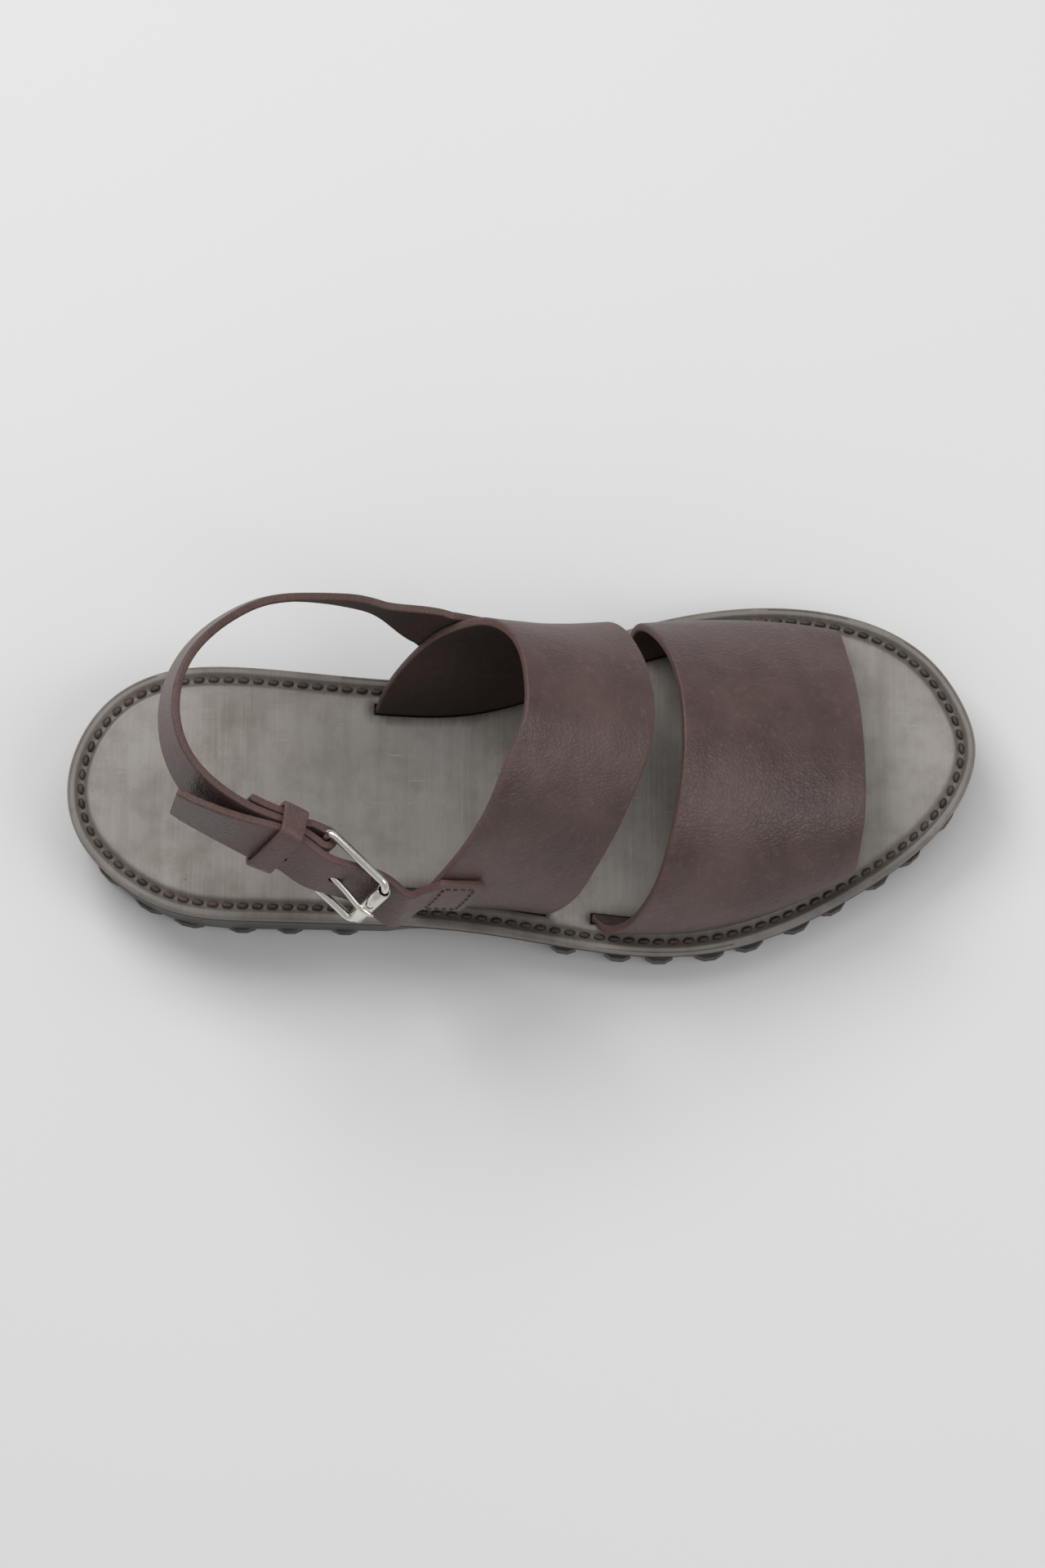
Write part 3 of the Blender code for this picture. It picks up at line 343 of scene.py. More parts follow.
def edge_height(x):
    """Height of the footbed's upper face."""
    share = np.clip((x - BACK) / (FALL_END * LENGTH), 0, 1) ** FALL_POWER
    return BALL_HEIGHT + (HEEL_HEIGHT - BALL_HEIGHT) * (1 + np.cos(pi * share)) / 2 + toe_rise(x)


def footbed_base(x):
    """Height of the footbed's lower face."""
    return edge_height(x) - FOOTBED_THICK


def slot_line(ends, side, count):
    """Plan points of a slot: the outline set in, between two places along the sole."""
    stations = np.linspace(along(ends[0]), along(ends[1]), count)
    return np.stack([stations, rim_at(stations, side, SLOT_INSET)], axis=1)


def wide_strap_grid(rear_table, fore_table, height, slots, steps, lanes):
    """Middle surface of a strap that goes through a slot on each side of the footbed."""
    edges = []
    for table, end in ((rear_table, 0), (fore_table, 1)):
        points = [place(row, height) for row in table]
        starts = []
        for name, side in (("medial", 1), ("lateral", -1)):
            x = along(slots[name][end])
            y = rim_at(x, side, SLOT_INSET)
            starts.append(np.array([x, y, edge_height(x)]))
        edges.append(spline([starts[0]] + points + [starts[1]], samples=steps))
    rear, fore = edges
    share = np.linspace(0, 1, lanes)[None, :, None]
    grid = rear[:, None, :] * (1 - share) + fore[:, None, :] * share
    for name, side, order in (("medial", 1, 1), ("lateral", -1, -1)):
        line = slot_line(slots[name], side, lanes)
        rows = np.linspace(0, 1, steps)[::order]
        first = grid[0 if order > 0 else -1, :, :2].copy()
        fade = np.clip(1 - rows / SLOT_FADE, 0, 1) ** SLOT_FADE_POWER
        grid[:, :, :2] += fade[:, None, None] * (line - first)[None]
    ends = []
    for row in (grid[0], grid[-1]):
        stack = np.repeat(row[None], len(SLOT_DEPTHS), axis=0)
        stack[:, :, 2] = edge_height(row[:, 0]) - np.outer(SLOT_DEPTHS, np.full(lanes, FOOTBED_THICK))
        ends.append(stack)
    return np.concatenate([ends[0], grid[1:-1], ends[1][::-1]])


# Narrow straps
# Step for slopes on a strap's surface, a share of its length or width.
PROBE = 0.02
SEAM_OUTWARD = 0.3
LAYER_PITCH = STRAP_THICK + SEWN_GAP
FREE_ROWS = 150
BILLET_FREE_ROWS = 90
FOLD_STEPS = 22
RETURN_STEPS = 26
# Shares of the free run over which a narrow strap turns to and from its sewn end's slant.
EASE_IN = 0.12
EASE_OUT = 0.40
# Rows of the buckle strap's tail, and where it leaves the heel strap behind the bar.
TAIL_ROWS = 60
TAIL_END = 0.0020
# Rows, counted from the tail's end, through which its path leads over the bar.
TAIL_LEAD = (13, 5)
# Reach of the buckle's own square, in buckle lengths from its middle.
SQUARE_REACH = 1.6
# Where the folded return starts and has settled on the strap, shares of RETURN_LENGTH.
RETURN_START = 0.16
RETURN_SETTLED = 0.30


class Surface:
    """Points and normals on a strap's middle surface, by lengths along and across it."""

    def __init__(self, grid):
        self.grid = grid
        self.rows, self.lanes = grid.shape[:2]

    def at(self, over, across):
        """The point at a share of the way over and a share of the width; it may run past 0."""
        i = np.clip(over * (self.rows - 1), 0, self.rows - 2)
        j = across * (self.lanes - 1)
        i0 = int(i)
        j0 = int(np.clip(np.floor(j), 0, self.lanes - 2))
        a = i - i0
        b = j - j0
        g = self.grid
        low = g[i0, j0] * (1 - b) + g[i0, j0 + 1] * b
        high = g[i0 + 1, j0] * (1 - b) + g[i0 + 1, j0 + 1] * b
        return low * (1 - a) + high * a

    def slopes(self, over, across):
        """Change of place for a unit share over the strap and for one across it."""
        over_way = self.at(over + PROBE, across) - self.at(over - PROBE, across)
        across_way = self.at(over, across + PROBE) - self.at(over, across - PROBE)
        return over_way / (2 * PROBE), across_way / (2 * PROBE)

    def normal(self, over, across, outward):
        """The outward normal there."""
        found = unit(np.cross(*self.slopes(over, across)))
        return found if float(found @ outward) > 0 else -found


def sewn_rows(surface, seam, count):
    """Rows of a narrow strap lying on the instep strap, from its sewn end to the edge."""
    outward = np.array([0.0, seam["side"], SEAM_OUTWARD])
    over_way, across_way = surface.slopes(seam["over"], PROBE)
    normal = surface.normal(seam["over"], PROBE, outward)
    slant = radians(seam["slant"])
    inward = unit(across_way - normal * (across_way @ normal))
    upward = np.cross(inward, normal) * seam["side"]
    inward, upward = inward * cos(slant) - upward * sin(slant), upward * cos(slant) + inward * sin(slant)
    shares = np.linalg.pinv(np.array([over_way, across_way]).T)
    rows = []
    for back in np.linspace(SEWN_LENGTH, 0, count):
        row = []
        for lane in np.linspace(-0.5, 0.5, THIN_LANES + 1):
            over, across = shares @ (inward * back + upward * lane * HEEL_STRAP_WIDTH)
            over += seam["over"]
            lift = surface.normal(over, max(across, PROBE), outward) * LAYER_PITCH
            row.append(surface.at(over, across) + lift)
        rows.append(np.array(row))
    return rows


def sections(centres, leans):
    """Straight rows across a narrow strap, from its middle line and its lean."""
    way = unit(np.gradient(centres, axis=0))
    left = unit(np.stack([-way[:, 1], way[:, 0], np.zeros(len(way))], axis=1))
    tilt = np.radians(leans)[:, None]
    up = np.array([0.0, 0.0, 1.0]) * np.cos(tilt) + left * np.sin(tilt)
    across = unit(up - way * (up * way).sum(axis=1, keepdims=True))
    return across


def rows_across(centres, across):
    """Rows of points across a strap of the heel strap's width."""
    lanes = np.linspace(-0.5, 0.5, THIN_LANES + 1)
    return centres[:, None, :] + across[:, None, :] * lanes[None, :, None] * HEEL_STRAP_WIDTH


def buckle_axes():
    """Bar, roller and the axes of the buckle's plane: along, across and outward."""
    bar = place(BAR_PLACE, HEEL_STRAP_HEIGHT)
    aim = place(ROLLER_PLACE, HEEL_STRAP_HEIGHT)
    along_axis = unit(aim - bar)
    left = unit(np.array([-along_axis[1], along_axis[0], 0.0]))
    lean = radians(BUCKLE_LEAN)
    up = np.array([0.0, 0.0, 1.0]) * cos(lean) + left * sin(lean)
    across = unit(up - along_axis * float(up @ along_axis))
    outward = np.cross(along_axis, across)
    roller = bar + along_axis * BUCKLE_REACH
    return bar, roller, along_axis, across, outward


BAR, ROLLER, ALONG_AXIS, ACROSS_AXIS, OUT_AXIS = buckle_axes()
FOLD_RADIUS = WIRE_RADIUS + RUNNING_GAP + STRAP_THICK / 2


def heel_strap_run(surface):
    """Middle line, across and outward directions of the heel strap's free run."""
    sewn = sewn_rows(surface, MEDIAL_SEAM, 4)
    lead = [row.mean(axis=0) for row in sewn]
    table = [place(row, HEEL_STRAP_HEIGHT) for row in HEEL_RUN]
    leans = [row[3] for row in HEEL_RUN]
    first_across = unit(sewn[-1][-1] - sewn[-1][0])
    last = BAR + OUT_AXIS * FOLD_RADIUS
    beyond = last + ALONG_AXIS * FOLD_RADIUS
    points = [lead[1], lead[-1]] + table + [last, beyond]
    tilts = [leans[0], leans[0]] + leans + [BUCKLE_LEAN, BUCKLE_LEAN]
    knots = np.column_stack([points, tilts])
    dense = spline(knots, samples=900)
    start = int(np.argmin(np.linalg.norm(dense[:, :3] - lead[-1], axis=1)))
    end = int(np.argmin(np.linalg.norm(dense[:, :3] - last, axis=1)))
    dense = dense[start:end + 1]
    across = sections(dense[:, :3], dense[:, 3])
    share = np.linspace(0, 1, len(dense))
    start = eased(share / EASE_IN)
    end = eased((1 - share) / EASE_IN)
    across = first_across * (1 - start) + across * start
    across = unit(ACROSS_AXIS * (1 - end) + across * end)
    outward = unit(np.cross(np.gradient(dense[:, :3], axis=0), across))
    return sewn, dense[:, :3], across, outward


def eased(share):
    """A smooth step from 0 to 1, as a column."""
    share = np.clip(share, 0, 1)[..., None]
    return share * share * (3 - 2 * share)


def pick(count, total):
    """Evenly spaced indices."""
    return np.linspace(0, total - 1, count).astype(int)


def walked(points):
    """Length from the start, at each point."""
    return np.concatenate([[0.0], np.cumsum(np.linalg.norm(np.diff(points, axis=0), axis=1))])


def billet_rows(surface):
    """Rows of the buckle strap, from its tip through the buckle to its sewn end."""
    _, centres, across, outward = heel_strap_run(surface)
    back = walked(centres)[-1] - walked(centres)
    places = np.linspace(TAIL_LENGTH, TAIL_END, TAIL_ROWS)
    spots = [int(np.argmin(np.abs(back - d))) for d in places]
    free = np.clip((places - TAIL_HELD) / (TAIL_LENGTH - TAIL_HELD), 0, 1)[:, None]
    tail = centres[spots] + outward[spots] * (LAYER_PITCH + TAIL_STAND_OFF * free ** 2)
    tail -= across[spots] * TAIL_DROP * free ** 2
    upright = across[spots] * (1 - TAIL_UPRIGHT * free) + np.array([0.0, 0.0, 1.0]) * TAIL_UPRIGHT * free
    way = unit(np.gradient(tail, axis=0))
    upright = unit(upright - way * (upright * way).sum(axis=1, keepdims=True))
    rows = list(rows_across(tail, upright))
    over_bar = BAR + OUT_AXIS * (FOLD_RADIUS + LAYER_PITCH)
    wrap = OUT_AXIS * cos(BILLET_WRAP) + ALONG_AXIS * sin(BILLET_WRAP)
    round_bar = BAR + wrap * (FOLD_RADIUS + LAYER_PITCH + RUNNING_GAP)
    depth = ROLLER_RADIUS + RUNNING_GAP + STRAP_THICK / 2 + ROLLER_SLACK
    under_roller = ROLLER - OUT_AXIS * depth
    past_roller = ROLLER + ALONG_AXIS * PAST_ROLLER - OUT_AXIS * (depth + ROLLER_SLACK)
    sewn = sewn_rows(surface, LATERAL_SEAM, 4)[::-1]
    seam = [row.mean(axis=0) for row in sewn]
    lead = [tail[-back_row] for back_row in TAIL_LEAD]
    points = lead + [over_bar, round_bar, under_roller, past_roller, seam[0], seam[2]]
    dense = spline(points, samples=900)
    start = int(np.argmin(np.linalg.norm(dense - over_bar, axis=1)))
    end = int(np.argmin(np.linalg.norm(dense - seam[0], axis=1)))
    dense = dense[start:end]
    share = np.linspace(0, 1, len(dense))
    free_across = sections(dense, np.full(len(dense), BUCKLE_LEAN))
    near = np.linalg.norm(dense - (BAR + ROLLER) / 2, axis=1) / BUCKLE_REACH
    square = np.clip(SQUARE_REACH - near, 0, 1)[:, None]
    free_across = free_across * (1 - square) + ACROSS_AXIS * square
    last_across = unit(sewn[0][-1] - sewn[0][0])
    end = eased((1 - share) / EASE_OUT)
    free_across = unit(last_across * (1 - end) + free_across * end)
    keep = pick(BILLET_FREE_ROWS + 1, len(dense))[:-1]
    rows += list(rows_across(dense[keep], free_across[keep]))
    return rows + sewn_rows(surface, LATERAL_SEAM, SEWN_FINE)[::-1]


PRONG_LEVEL = ROLLER_RADIUS + RUNNING_GAP + PRONG_RADIUS
# The prong's eye round the bar, in degrees from its outer side, and the rows of its shaft.
PRONG_COIL = range(250, -51, -30)
PRONG_SHARES = (0.35, 0.7, 1.0)


def prong_path():
    """The prong's wire: round the bar, then over the roller."""
    radius = WIRE_RADIUS + RUNNING_GAP + PRONG_RADIUS
    points = []
    for angle in np.radians(PRONG_COIL):
        points.append(BAR + radius * (OUT_AXIS * cos(angle) - ALONG_AXIS * sin(angle)))
    start = points[-1]
    target = ROLLER + OUT_AXIS * PRONG_LEVEL
    tip = target + ALONG_AXIS * PRONG_OVERHANG - OUT_AXIS * PRONG_RADIUS
    reach = target - start
    points += [start + reach * share for share in PRONG_SHARES]
    points.append(tip)
    return points


def rounded_loop(half_long, half_wide, radii, steps=4):
    """Corner-rounded rectangle: long and wide offsets, rear and front corner radii."""
    path = []
    corners = [(1, 1, radii[1]), (-1, 1, radii[0]), (-1, -1, radii[0]), (1, -1, radii[1])]
    for number, (front, up, radius) in enumerate(corners):
        middle = (front * (half_long - radius), up * (half_wide - radius))
        for step in range(steps + 1):
            angle = pi / 2 * (number + step / steps)
            path.append((middle[0] + radius * cos(angle), middle[1] + radius * sin(angle)))
    return path

# Steps of the visual pieces
WIDE_ROWS = 130
WIDE_LANES = 41
SEWN_FINE = 14
ARC_STEPS = 4
KEEPER_STEPS = 90
KEEPER_LANES = 11
ROLLER_STEPS = 48
STITCH_SIDES = 10
STITCH_RINGS = 9

# Leather: rounded cut edges, how far the rubbed edge reaches in, and the soft relief of a
# wide and of a narrow strap
EDGE_RADIUS = 0.0007
KEEPER_EDGE_RADIUS = 0.0005
RUBBED_REACH = 0.0011
WIDE_RELIEF = 0.00014
NARROW_RELIEF = 0.00008
RELIEF_SCALES = ((55, 1.0), (140, 0.5))

# The footbed's rim, the stitched channel along it and the lips of its slots
CHANNEL_INSET = 0.0043
CHANNEL_HALF = 0.0021
CHANNEL_DEPTH = 0.0010
RIM_ROUND = 0.0006
RIM_BULGE = 0.00012
BULGE_DROPS = (0.55, 0.3)
FOOT_INSET = 0.0002
FOOT_ROUND = 0.0003
LIP_DEPTH = 0.0007
LIP_REACH = 0.0024
DOME = 0.00025
DOME_SCALE = 22
# Insets of the rings of points on its upper face, and shares of the way from the last of
# them to the footbed's middle line.
RING_INSETS = [RIM_ROUND, 0.0011, 0.0018, 0.0021, 0.0025, 0.0030, 0.0036, 0.0043, 0.0050, 0.0056,
               0.0061, 0.0065, 0.0072, 0.0079, 0.0085, 0.0091, 0.0100, 0.0109, 0.0115, 0.0121,
               0.0129, 0.0140, 0.0155]
SPINE_SHARES = [0.12, 0.26, 0.42, 0.6, 0.8, 1.0]
SPINE_REACH = (0.10, 0.86)
# Darkening of the footbed: the darker tone of its rim and side, and painted shade in its channel and round
# its slots
RIM_DARK = 0.34
RIM_DARK_REACH = 0.004
CHANNEL_PAINTED_SHADE = 0.66
SLOT_PAINTED_SHADE = 0.85
SLOT_SHADE_REACH = 0.0012
SIDE_DARK = 0.62

# Thread
STITCH_PITCH = 0.00475
STITCH_LENGTH = 0.0041
STITCH_RADIUS = 0.0009
STITCH_SLANT = 9
STITCH_LIFT = 0.00035
THREAD_TWIST = 5.0
THREAD_LOBE = 0.16
SEAM_INSET = 0.0022
SEAM_FAR = 0.93
SEAM_PITCH = 0.0027
SEAM_LENGTH = SEAM_PITCH * 0.78
SEAM_THREAD = 0.00038
SEAM_LIFT = 0.00008
RETURN_SEAMS = (0.0215, 0.0240)

# The buckle strap's free hole: back from the bar, below the middle line, reach and radius
FREE_HOLE_BACK = 0.0050
FREE_HOLE_LOW = 0.0025
FREE_HOLE_DEEP = 0.0120
FREE_HOLE_RADIUS = 0.0013

# The roller's rounded ends and the prong's tapered tip, in shares of its radius
ROLLER_LIP = 0.0001
ROLLER_ROUND = 0.0002
PRONG_TIP = (1, 0.98, 0.94, 0.86, 0.7, 0.4)

# Pitch of the ribs under the waist, and the length over which they fade
RIB_PITCH = 0.0022
RIB_FADE = 0.004

# Camera, floor and light
CAMERA_TARGET = (0.0, -0.0017, 0.020)
CAMERA_REACH = 1.6
CAMERA_RISE = 77
CAMERA_LENS = 172
SENSOR = 36
FLOOR_SIZE = 8.0
LIGHT_AIM = (0, 0, 0.03)
# Columns: name, place, width and length, power
LIGHTS = [
    ("key", (-0.7, 0.9, 1.3), (0.9, 0.9), 12),
    ("fill", (0.9, -0.4, 1.2), (0.8, 0.8), 4),
    ("top", (0.1, 0.5, 1.7), (1.2, 0.5), 5),
]
WORLD_STRENGTH = 0.42


# Strips of leather
def lane_points(grid, shares):
    """Points of each row at a share of its width, one share a row."""
    place_on = np.clip(shares, 0, 1) * (grid.shape[1] - 1)
    low = np.clip(place_on.astype(int), 0, grid.shape[1] - 2)
    blend = (place_on - low)[:, None]
    row = np.arange(len(grid))
    return grid[row, low] * (1 - blend) + grid[row, low + 1] * blend


def strip_normals(grid, closed):
    """Outward normals of a strip's middle surface."""
    if closed:
        along_way = np.roll(grid, -1, axis=0) - np.roll(grid, 1, axis=0)
    else:
        along_way = np.gradient(grid, axis=0)
    return unit(np.cross(along_way, np.gradient(grid, axis=1)))


def section_columns(half, radius, lanes):
    """Inset from the near edge, share across, offset and kind of each column of a section."""
    turn = np.linspace(0, pi / 2, ARC_STEPS + 1)
    columns = [(None, share, half, "outer") for share in np.linspace(0, 1, lanes)]
    for angle in turn[1:]:
        columns.append((radius * (1 - sin(angle)), 1, half - radius * (1 - cos(angle)), "cut"))
    for angle in turn[::-1][:-1]:
        columns.append((radius * (1 - sin(angle)), 1, -half + radius * (1 - cos(angle)), "cut"))
    columns += [(None, share, -half, "inner") for share in np.linspace(1, 0, lanes)]
    for angle in turn[1:]:
        columns.append((radius * (1 - sin(angle)), 0, -half + radius * (1 - cos(angle)), "cut"))
    for angle in turn[::-1][:-1]:
        columns.append((radius * (1 - sin(angle)), 0, half - radius * (1 - cos(angle)), "cut"))
    return columns


def strip(name, grid, thickness, finish, node, closed=False, radius=EDGE_RADIUS, relief=0.0):
    """A leather strip with a thickness, rounded edges and soft relief.

    A closed strip's rows run the other way round, so its normals are turned.
    """
    rows, lanes, _ = grid.shape
    normals = strip_normals(grid, closed) * (-1 if closed else 1)
    width = np.linalg.norm(np.diff(grid, axis=1), axis=2).sum(axis=1)
    walk = walked(grid.mean(axis=1))
    half = thickness / 2
    columns = section_columns(half, radius, lanes)
    spots, ways, flat, edge = [], [], [], []
    for inset, share, _, kind in columns:
        if inset is None:
            across = radius / width + (1 - 2 * radius / width) * share
        else:
            across = inset / width if share == 0 else 1 - inset / width
        spots.append(lane_points(grid, across))
        ways.append(unit(lane_points(normals, across)))
        flat.append(across * width)
        near = np.minimum(across, 1 - across) * width
        edge.append(np.ones(rows) if kind == "cut" else np.exp(-near / RUBBED_REACH))
    spots, ways, flat, edge = (np.stack(part, axis=1) for part in (spots, ways, flat, edge))
    offsets = np.array([column[2] for column in columns])
    inner = np.array([float(column[3] == "inner") for column in columns])
    if relief:
        waves = np.array([wave(p) for p in spots.reshape(-1, 3)]).reshape(rows, -1)
        spots = spots + ways * (waves * relief)[:, :, None]
    points = spots + ways * offsets[None, :, None]
    rings = [(points[i], flat[i], walk[i], edge[i], inner) for i in range(rows)]
    if not closed:
        for end, toward in ((0, -1), (-1, 1)):
            step = unit((grid[end] - grid[1 if end == 0 else -2]).mean(axis=0))
            more = []
            for angle in np.linspace(0, pi / 2, ARC_STEPS + 1)[1:]:
                shrink = (half - radius * (1 - cos(angle))) / half
                base = spots[end] + ways[end] * (offsets * shrink)[:, None]
                rise = radius * sin(angle)
                cap = np.ones(len(offsets))
                more.append((base + step * rise, flat[end], walk[end] + toward * rise, cap, inner))
            rings = more[::-1] + rings if end == 0 else rings + more
    return ring_mesh(name, rings, closed, finish, node)


def wave(point):
    """Soft relief of the leather at a point."""
    return sum(noise.noise(Vector(point) * scale) * share for scale, share in RELIEF_SCALES)


def ring_mesh(name, rings, closed, finish, node):
    """A mesh from rings of points, with its lengths as UV and its edges as attributes."""
    count = len(rings[0][0])
    total = len(rings)
    points = np.concatenate([ring[0] for ring in rings])
    faces = []
    for i in range(total if closed else total - 1):
        low = i * count
        high = ((i + 1) % total) * count
        for j in range(count):
            k = (j + 1) % count
            faces.append([low + j, low + k, high + k, high + j])
    if not closed:
        faces.append(list(range(count)))
        faces.append(list(range((total - 1) * count, total * count))[::-1])
    made = piece(name, points, faces, finish, node)
    mesh = made.data
    flat = np.concatenate([np.column_stack([ring[1], np.full(count, ring[2])]) for ring in rings])
    layer = mesh.uv_layers.new(name="UVMap")
    index = np.zeros(len(mesh.loops), int)
    mesh.loops.foreach_get("vertex_index", index)
    layer.data.foreach_set("uv", flat[index].astype(float).ravel())
    for label, column in (("edge", 3), ("inner", 4)):
        values = np.concatenate([ring[column] for ring in rings])
        field = mesh.attributes.new(label, "FLOAT", "POINT")
        field.data.foreach_set("value", values.astype(float))
    return made


def piece(name, points, faces, finish, node=None):
    """A mesh piece that rides on the shoe and stands for a CAD node."""
    mesh = bpy.data.meshes.new(name)
    mesh.from_pydata([tuple(map(float, p)) for p in points], [], [list(map(int, f)) for f in faces])
    work = bmesh.new()
    work.from_mesh(mesh)
    bmesh.ops.recalc_face_normals(work, faces=work.faces)
    work.to_mesh(mesh)
    work.free()
    mesh.shade_smooth()
    made = bpy.data.objects.new(name, mesh)
    bpy.context.scene.collection.objects.link(made)
    mesh.materials.append(finish)
    settle(made, node)
    return made


def settle(item, node=None):
    """Tell the frame what a piece rides on, and hide the CAD node it stands for."""
    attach(item, "root")
    if node:
        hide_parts(node)


# Stitches
def stitch(centre, way, normal, length, radius):
    """Points and faces of one stitch: a short twisted thread lying on a surface."""
    side = np.cross(normal, way)
    points = []
    shares = np.linspace(-1, 1, STITCH_RINGS)
    for share in shares:
        swell = sqrt(max(0.0, 1 - abs(share) ** 3)) * radius
        sink = -radius * 0.9 * abs(share) ** 3
        for number in range(STITCH_SIDES):
            angle = 2 * pi * number / STITCH_SIDES
            lobe = 1 + THREAD_LOBE * cos(2 * angle + THREAD_TWIST * share)
            ring = (side * cos(angle) + normal * sin(angle)) * max(swell, radius * 0.08) * lobe
            points.append(centre + way * share * length / 2 + normal * sink + ring)
    faces = []
    for i in range(STITCH_RINGS - 1):
        for j in range(STITCH_SIDES):
            k = (j + 1) % STITCH_SIDES
            low = i * STITCH_SIDES
            faces.append([low + j, low + k, low + STITCH_SIDES + k, low + STITCH_SIDES + j])
    faces.append(list(range(STITCH_SIDES))[::-1])
    faces.append([(STITCH_RINGS - 1) * STITCH_SIDES + j for j in range(STITCH_SIDES)])
    return points, faces


def stitches(name, lines, pitch, length, radius, finish, slant=0.0):
    """Stitches along lines of points and normals."""
    points = []
    faces = []
    for line, normals in lines:
        walk = walked(line)
        count = max(int(round(walk[-1] / pitch)), 1)
        for number in range(count):
            wanted = (number + 0.5) * walk[-1] / count
            spot = at_length(line, walk, [wanted])[0]
            ahead = at_length(line, walk, [wanted + pitch * 0.2])[0]
            behind = at_length(line, walk, [wanted - pitch * 0.2])[0]
            normal = unit(at_length(normals, walk, [wanted])[0])
            way = unit(ahead - behind)
            side = np.cross(normal, way)
            way = unit(way * cos(slant) + side * sin(slant))
            more_points, more_faces = stitch(spot, way, normal, length, radius)
            base = len(points)
            points += more_points
            faces += [[base + corner for corner in face] for face in more_faces]
    return piece(name, points, faces, finish)


# Footbed
def slot_lines():
    """Plan lines of the four slots."""
    lines = []
    for slots in (FRONT_SLOTS, INSTEP_SLOTS):
        for name, side in (("medial", 1), ("lateral", -1)):
            lines.append(slot_line(slots[name], side, 24))
    return lines


def bed_relief(x, y, inset):
    """Height of the footbed's upper face above its plain form."""
    off = np.abs(inset - CHANNEL_INSET) / CHANNEL_HALF
    channel = -CHANNEL_DEPTH * np.clip(1 - off ** 2, 0, 1)
    nearest = np.full(len(x), 1.0)
    for line in slot_lines():
        gap = np.sqrt((x[:, None] - line[None, :, 0]) ** 2 + (y[:, None] - line[None, :, 1]) ** 2)
        nearest = np.minimum(nearest, gap.min(axis=1))
    lip = -LIP_DEPTH * np.exp(-(np.maximum(nearest - STRAP_THICK / 2, 0) / LIP_REACH) ** 2)
    dome = DOME * np.array([noise.noise(Vector((a, b, 0.3)) * DOME_SCALE) for a, b in zip(x, y)])
    return channel + lip + dome


def bed_rings():
    """Rings of points from the footbed's lower edge over its rim to its middle line."""
    height = edge_height(RIM[:, 0])
    base = footbed_base(RIM[:, 0])
    rings = [np.column_stack([RIM - RIM_NORMAL * FOOT_INSET, base])]
    rings.append(np.column_stack([RIM, base + FOOT_ROUND]))
    for drop in BULGE_DROPS:
        level = height - FOOTBED_THICK * drop - RIM_ROUND / 2
        rings.append(np.column_stack([RIM + RIM_NORMAL * RIM_BULGE, level]))
    for angle in np.linspace(0, pi / 2, ARC_STEPS + 1):
        plan = RIM - RIM_NORMAL * RIM_ROUND * (1 - cos(angle))
        rings.append(np.column_stack([plan, edge_height(plan[:, 0]) - RIM_ROUND * (1 - sin(angle))]))
    spine_x = np.clip(RIM[:, 0], along(SPINE_REACH[0]), along(SPINE_REACH[1]))
    spine = np.column_stack([spine_x, (rim_at(spine_x, 1) + rim_at(spine_x, -1)) / 2])
    plans = [(RIM - RIM_NORMAL * inset, inset) for inset in RING_INSETS]
    last = plans[-1][0]
    plans += [(last * (1 - share) + spine * share, RING_INSETS[-1] + share) for share in SPINE_SHARES]
    for plan, inset in plans:
        relief = bed_relief(plan[:, 0], plan[:, 1], inset)
        rings.append(np.column_stack([plan, edge_height(plan[:, 0]) + relief]))
    return rings


def make_footbed_piece(finish):
    """The footbed with its stitched channel, rounded rim and pressed-in slots."""
    rings = bed_rings()
    count = len(RIM)
    faces = []
    for i in range(len(rings) - 1):
        for j in range(count):
            k = (j + 1) % count
            faces.append([i * count + j, i * count + k, (i + 1) * count + k, (i + 1) * count + j])
    faces.append(list(range(count)))
    made = piece("footbed_leather", np.concatenate(rings), faces, finish, "footbed")
    work = bmesh.new()
    work.from_mesh(made.data)
    bmesh.ops.remove_doubles(work, verts=work.verts, dist=2e-5)
    bmesh.ops.dissolve_degenerate(work, edges=work.edges, dist=1e-6)
    bmesh.ops.recalc_face_normals(work, faces=work.faces)
    work.to_mesh(made.data)
    work.free()
    for line in slot_lines():
        cut(made, slot_hole(line))
    return made


def slot_hole(line):
    """A cutter for one slot of the footbed."""
    way = unit(line[-1] - line[0])
    line[0] -= way * SLOT_CLEARANCE
    line[-1] += way * SLOT_CLEARANCE
    slope = np.gradient(line, axis=0)
    side = unit(np.stack([-slope[:, 1], slope[:, 0]], axis=1)) * (STRAP_THICK / 2 + SLOT_CLEARANCE)
    loop = np.concatenate([line + side, (line - side)[::-1]])
    height = edge_height(loop[:, 0])
    low = np.column_stack([loop, height - 2 * FOOTBED_THICK])
    high = np.column_stack([loop, height + FOOTBED_THICK])
    return cutter_mesh(np.concatenate([low, high]), prism_faces(len(loop)))


def prism_faces(sides):
    """Faces of a prism between two loops of points."""
    faces = [[i, (i + 1) % sides, sides + (i + 1) % sides, sides + i] for i in range(sides)]
    return faces + [list(range(sides))[::-1], list(range(sides, 2 * sides))]


def cut(item, cutter, crossing=False):
    """Cut a piece and apply the result. crossing is for a piece that meets itself."""
    work = bmesh.new()
    work.from_mesh(cutter.data)
    bmesh.ops.recalc_face_normals(work, faces=work.faces)
    work.to_mesh(cutter.data)
    work.free()
    made = item.modifiers.new("Cut", "BOOLEAN")
    made.operation = "DIFFERENCE"
    made.solver = "EXACT"
    made.object = cutter
    made.use_self = crossing
    bpy.context.view_layer.objects.active = item
    with bpy.context.temp_override(object=item, active_object=item):
        bpy.ops.object.modifier_apply(modifier=made.name)
    bpy.data.objects.remove(cutter, do_unlink=True)


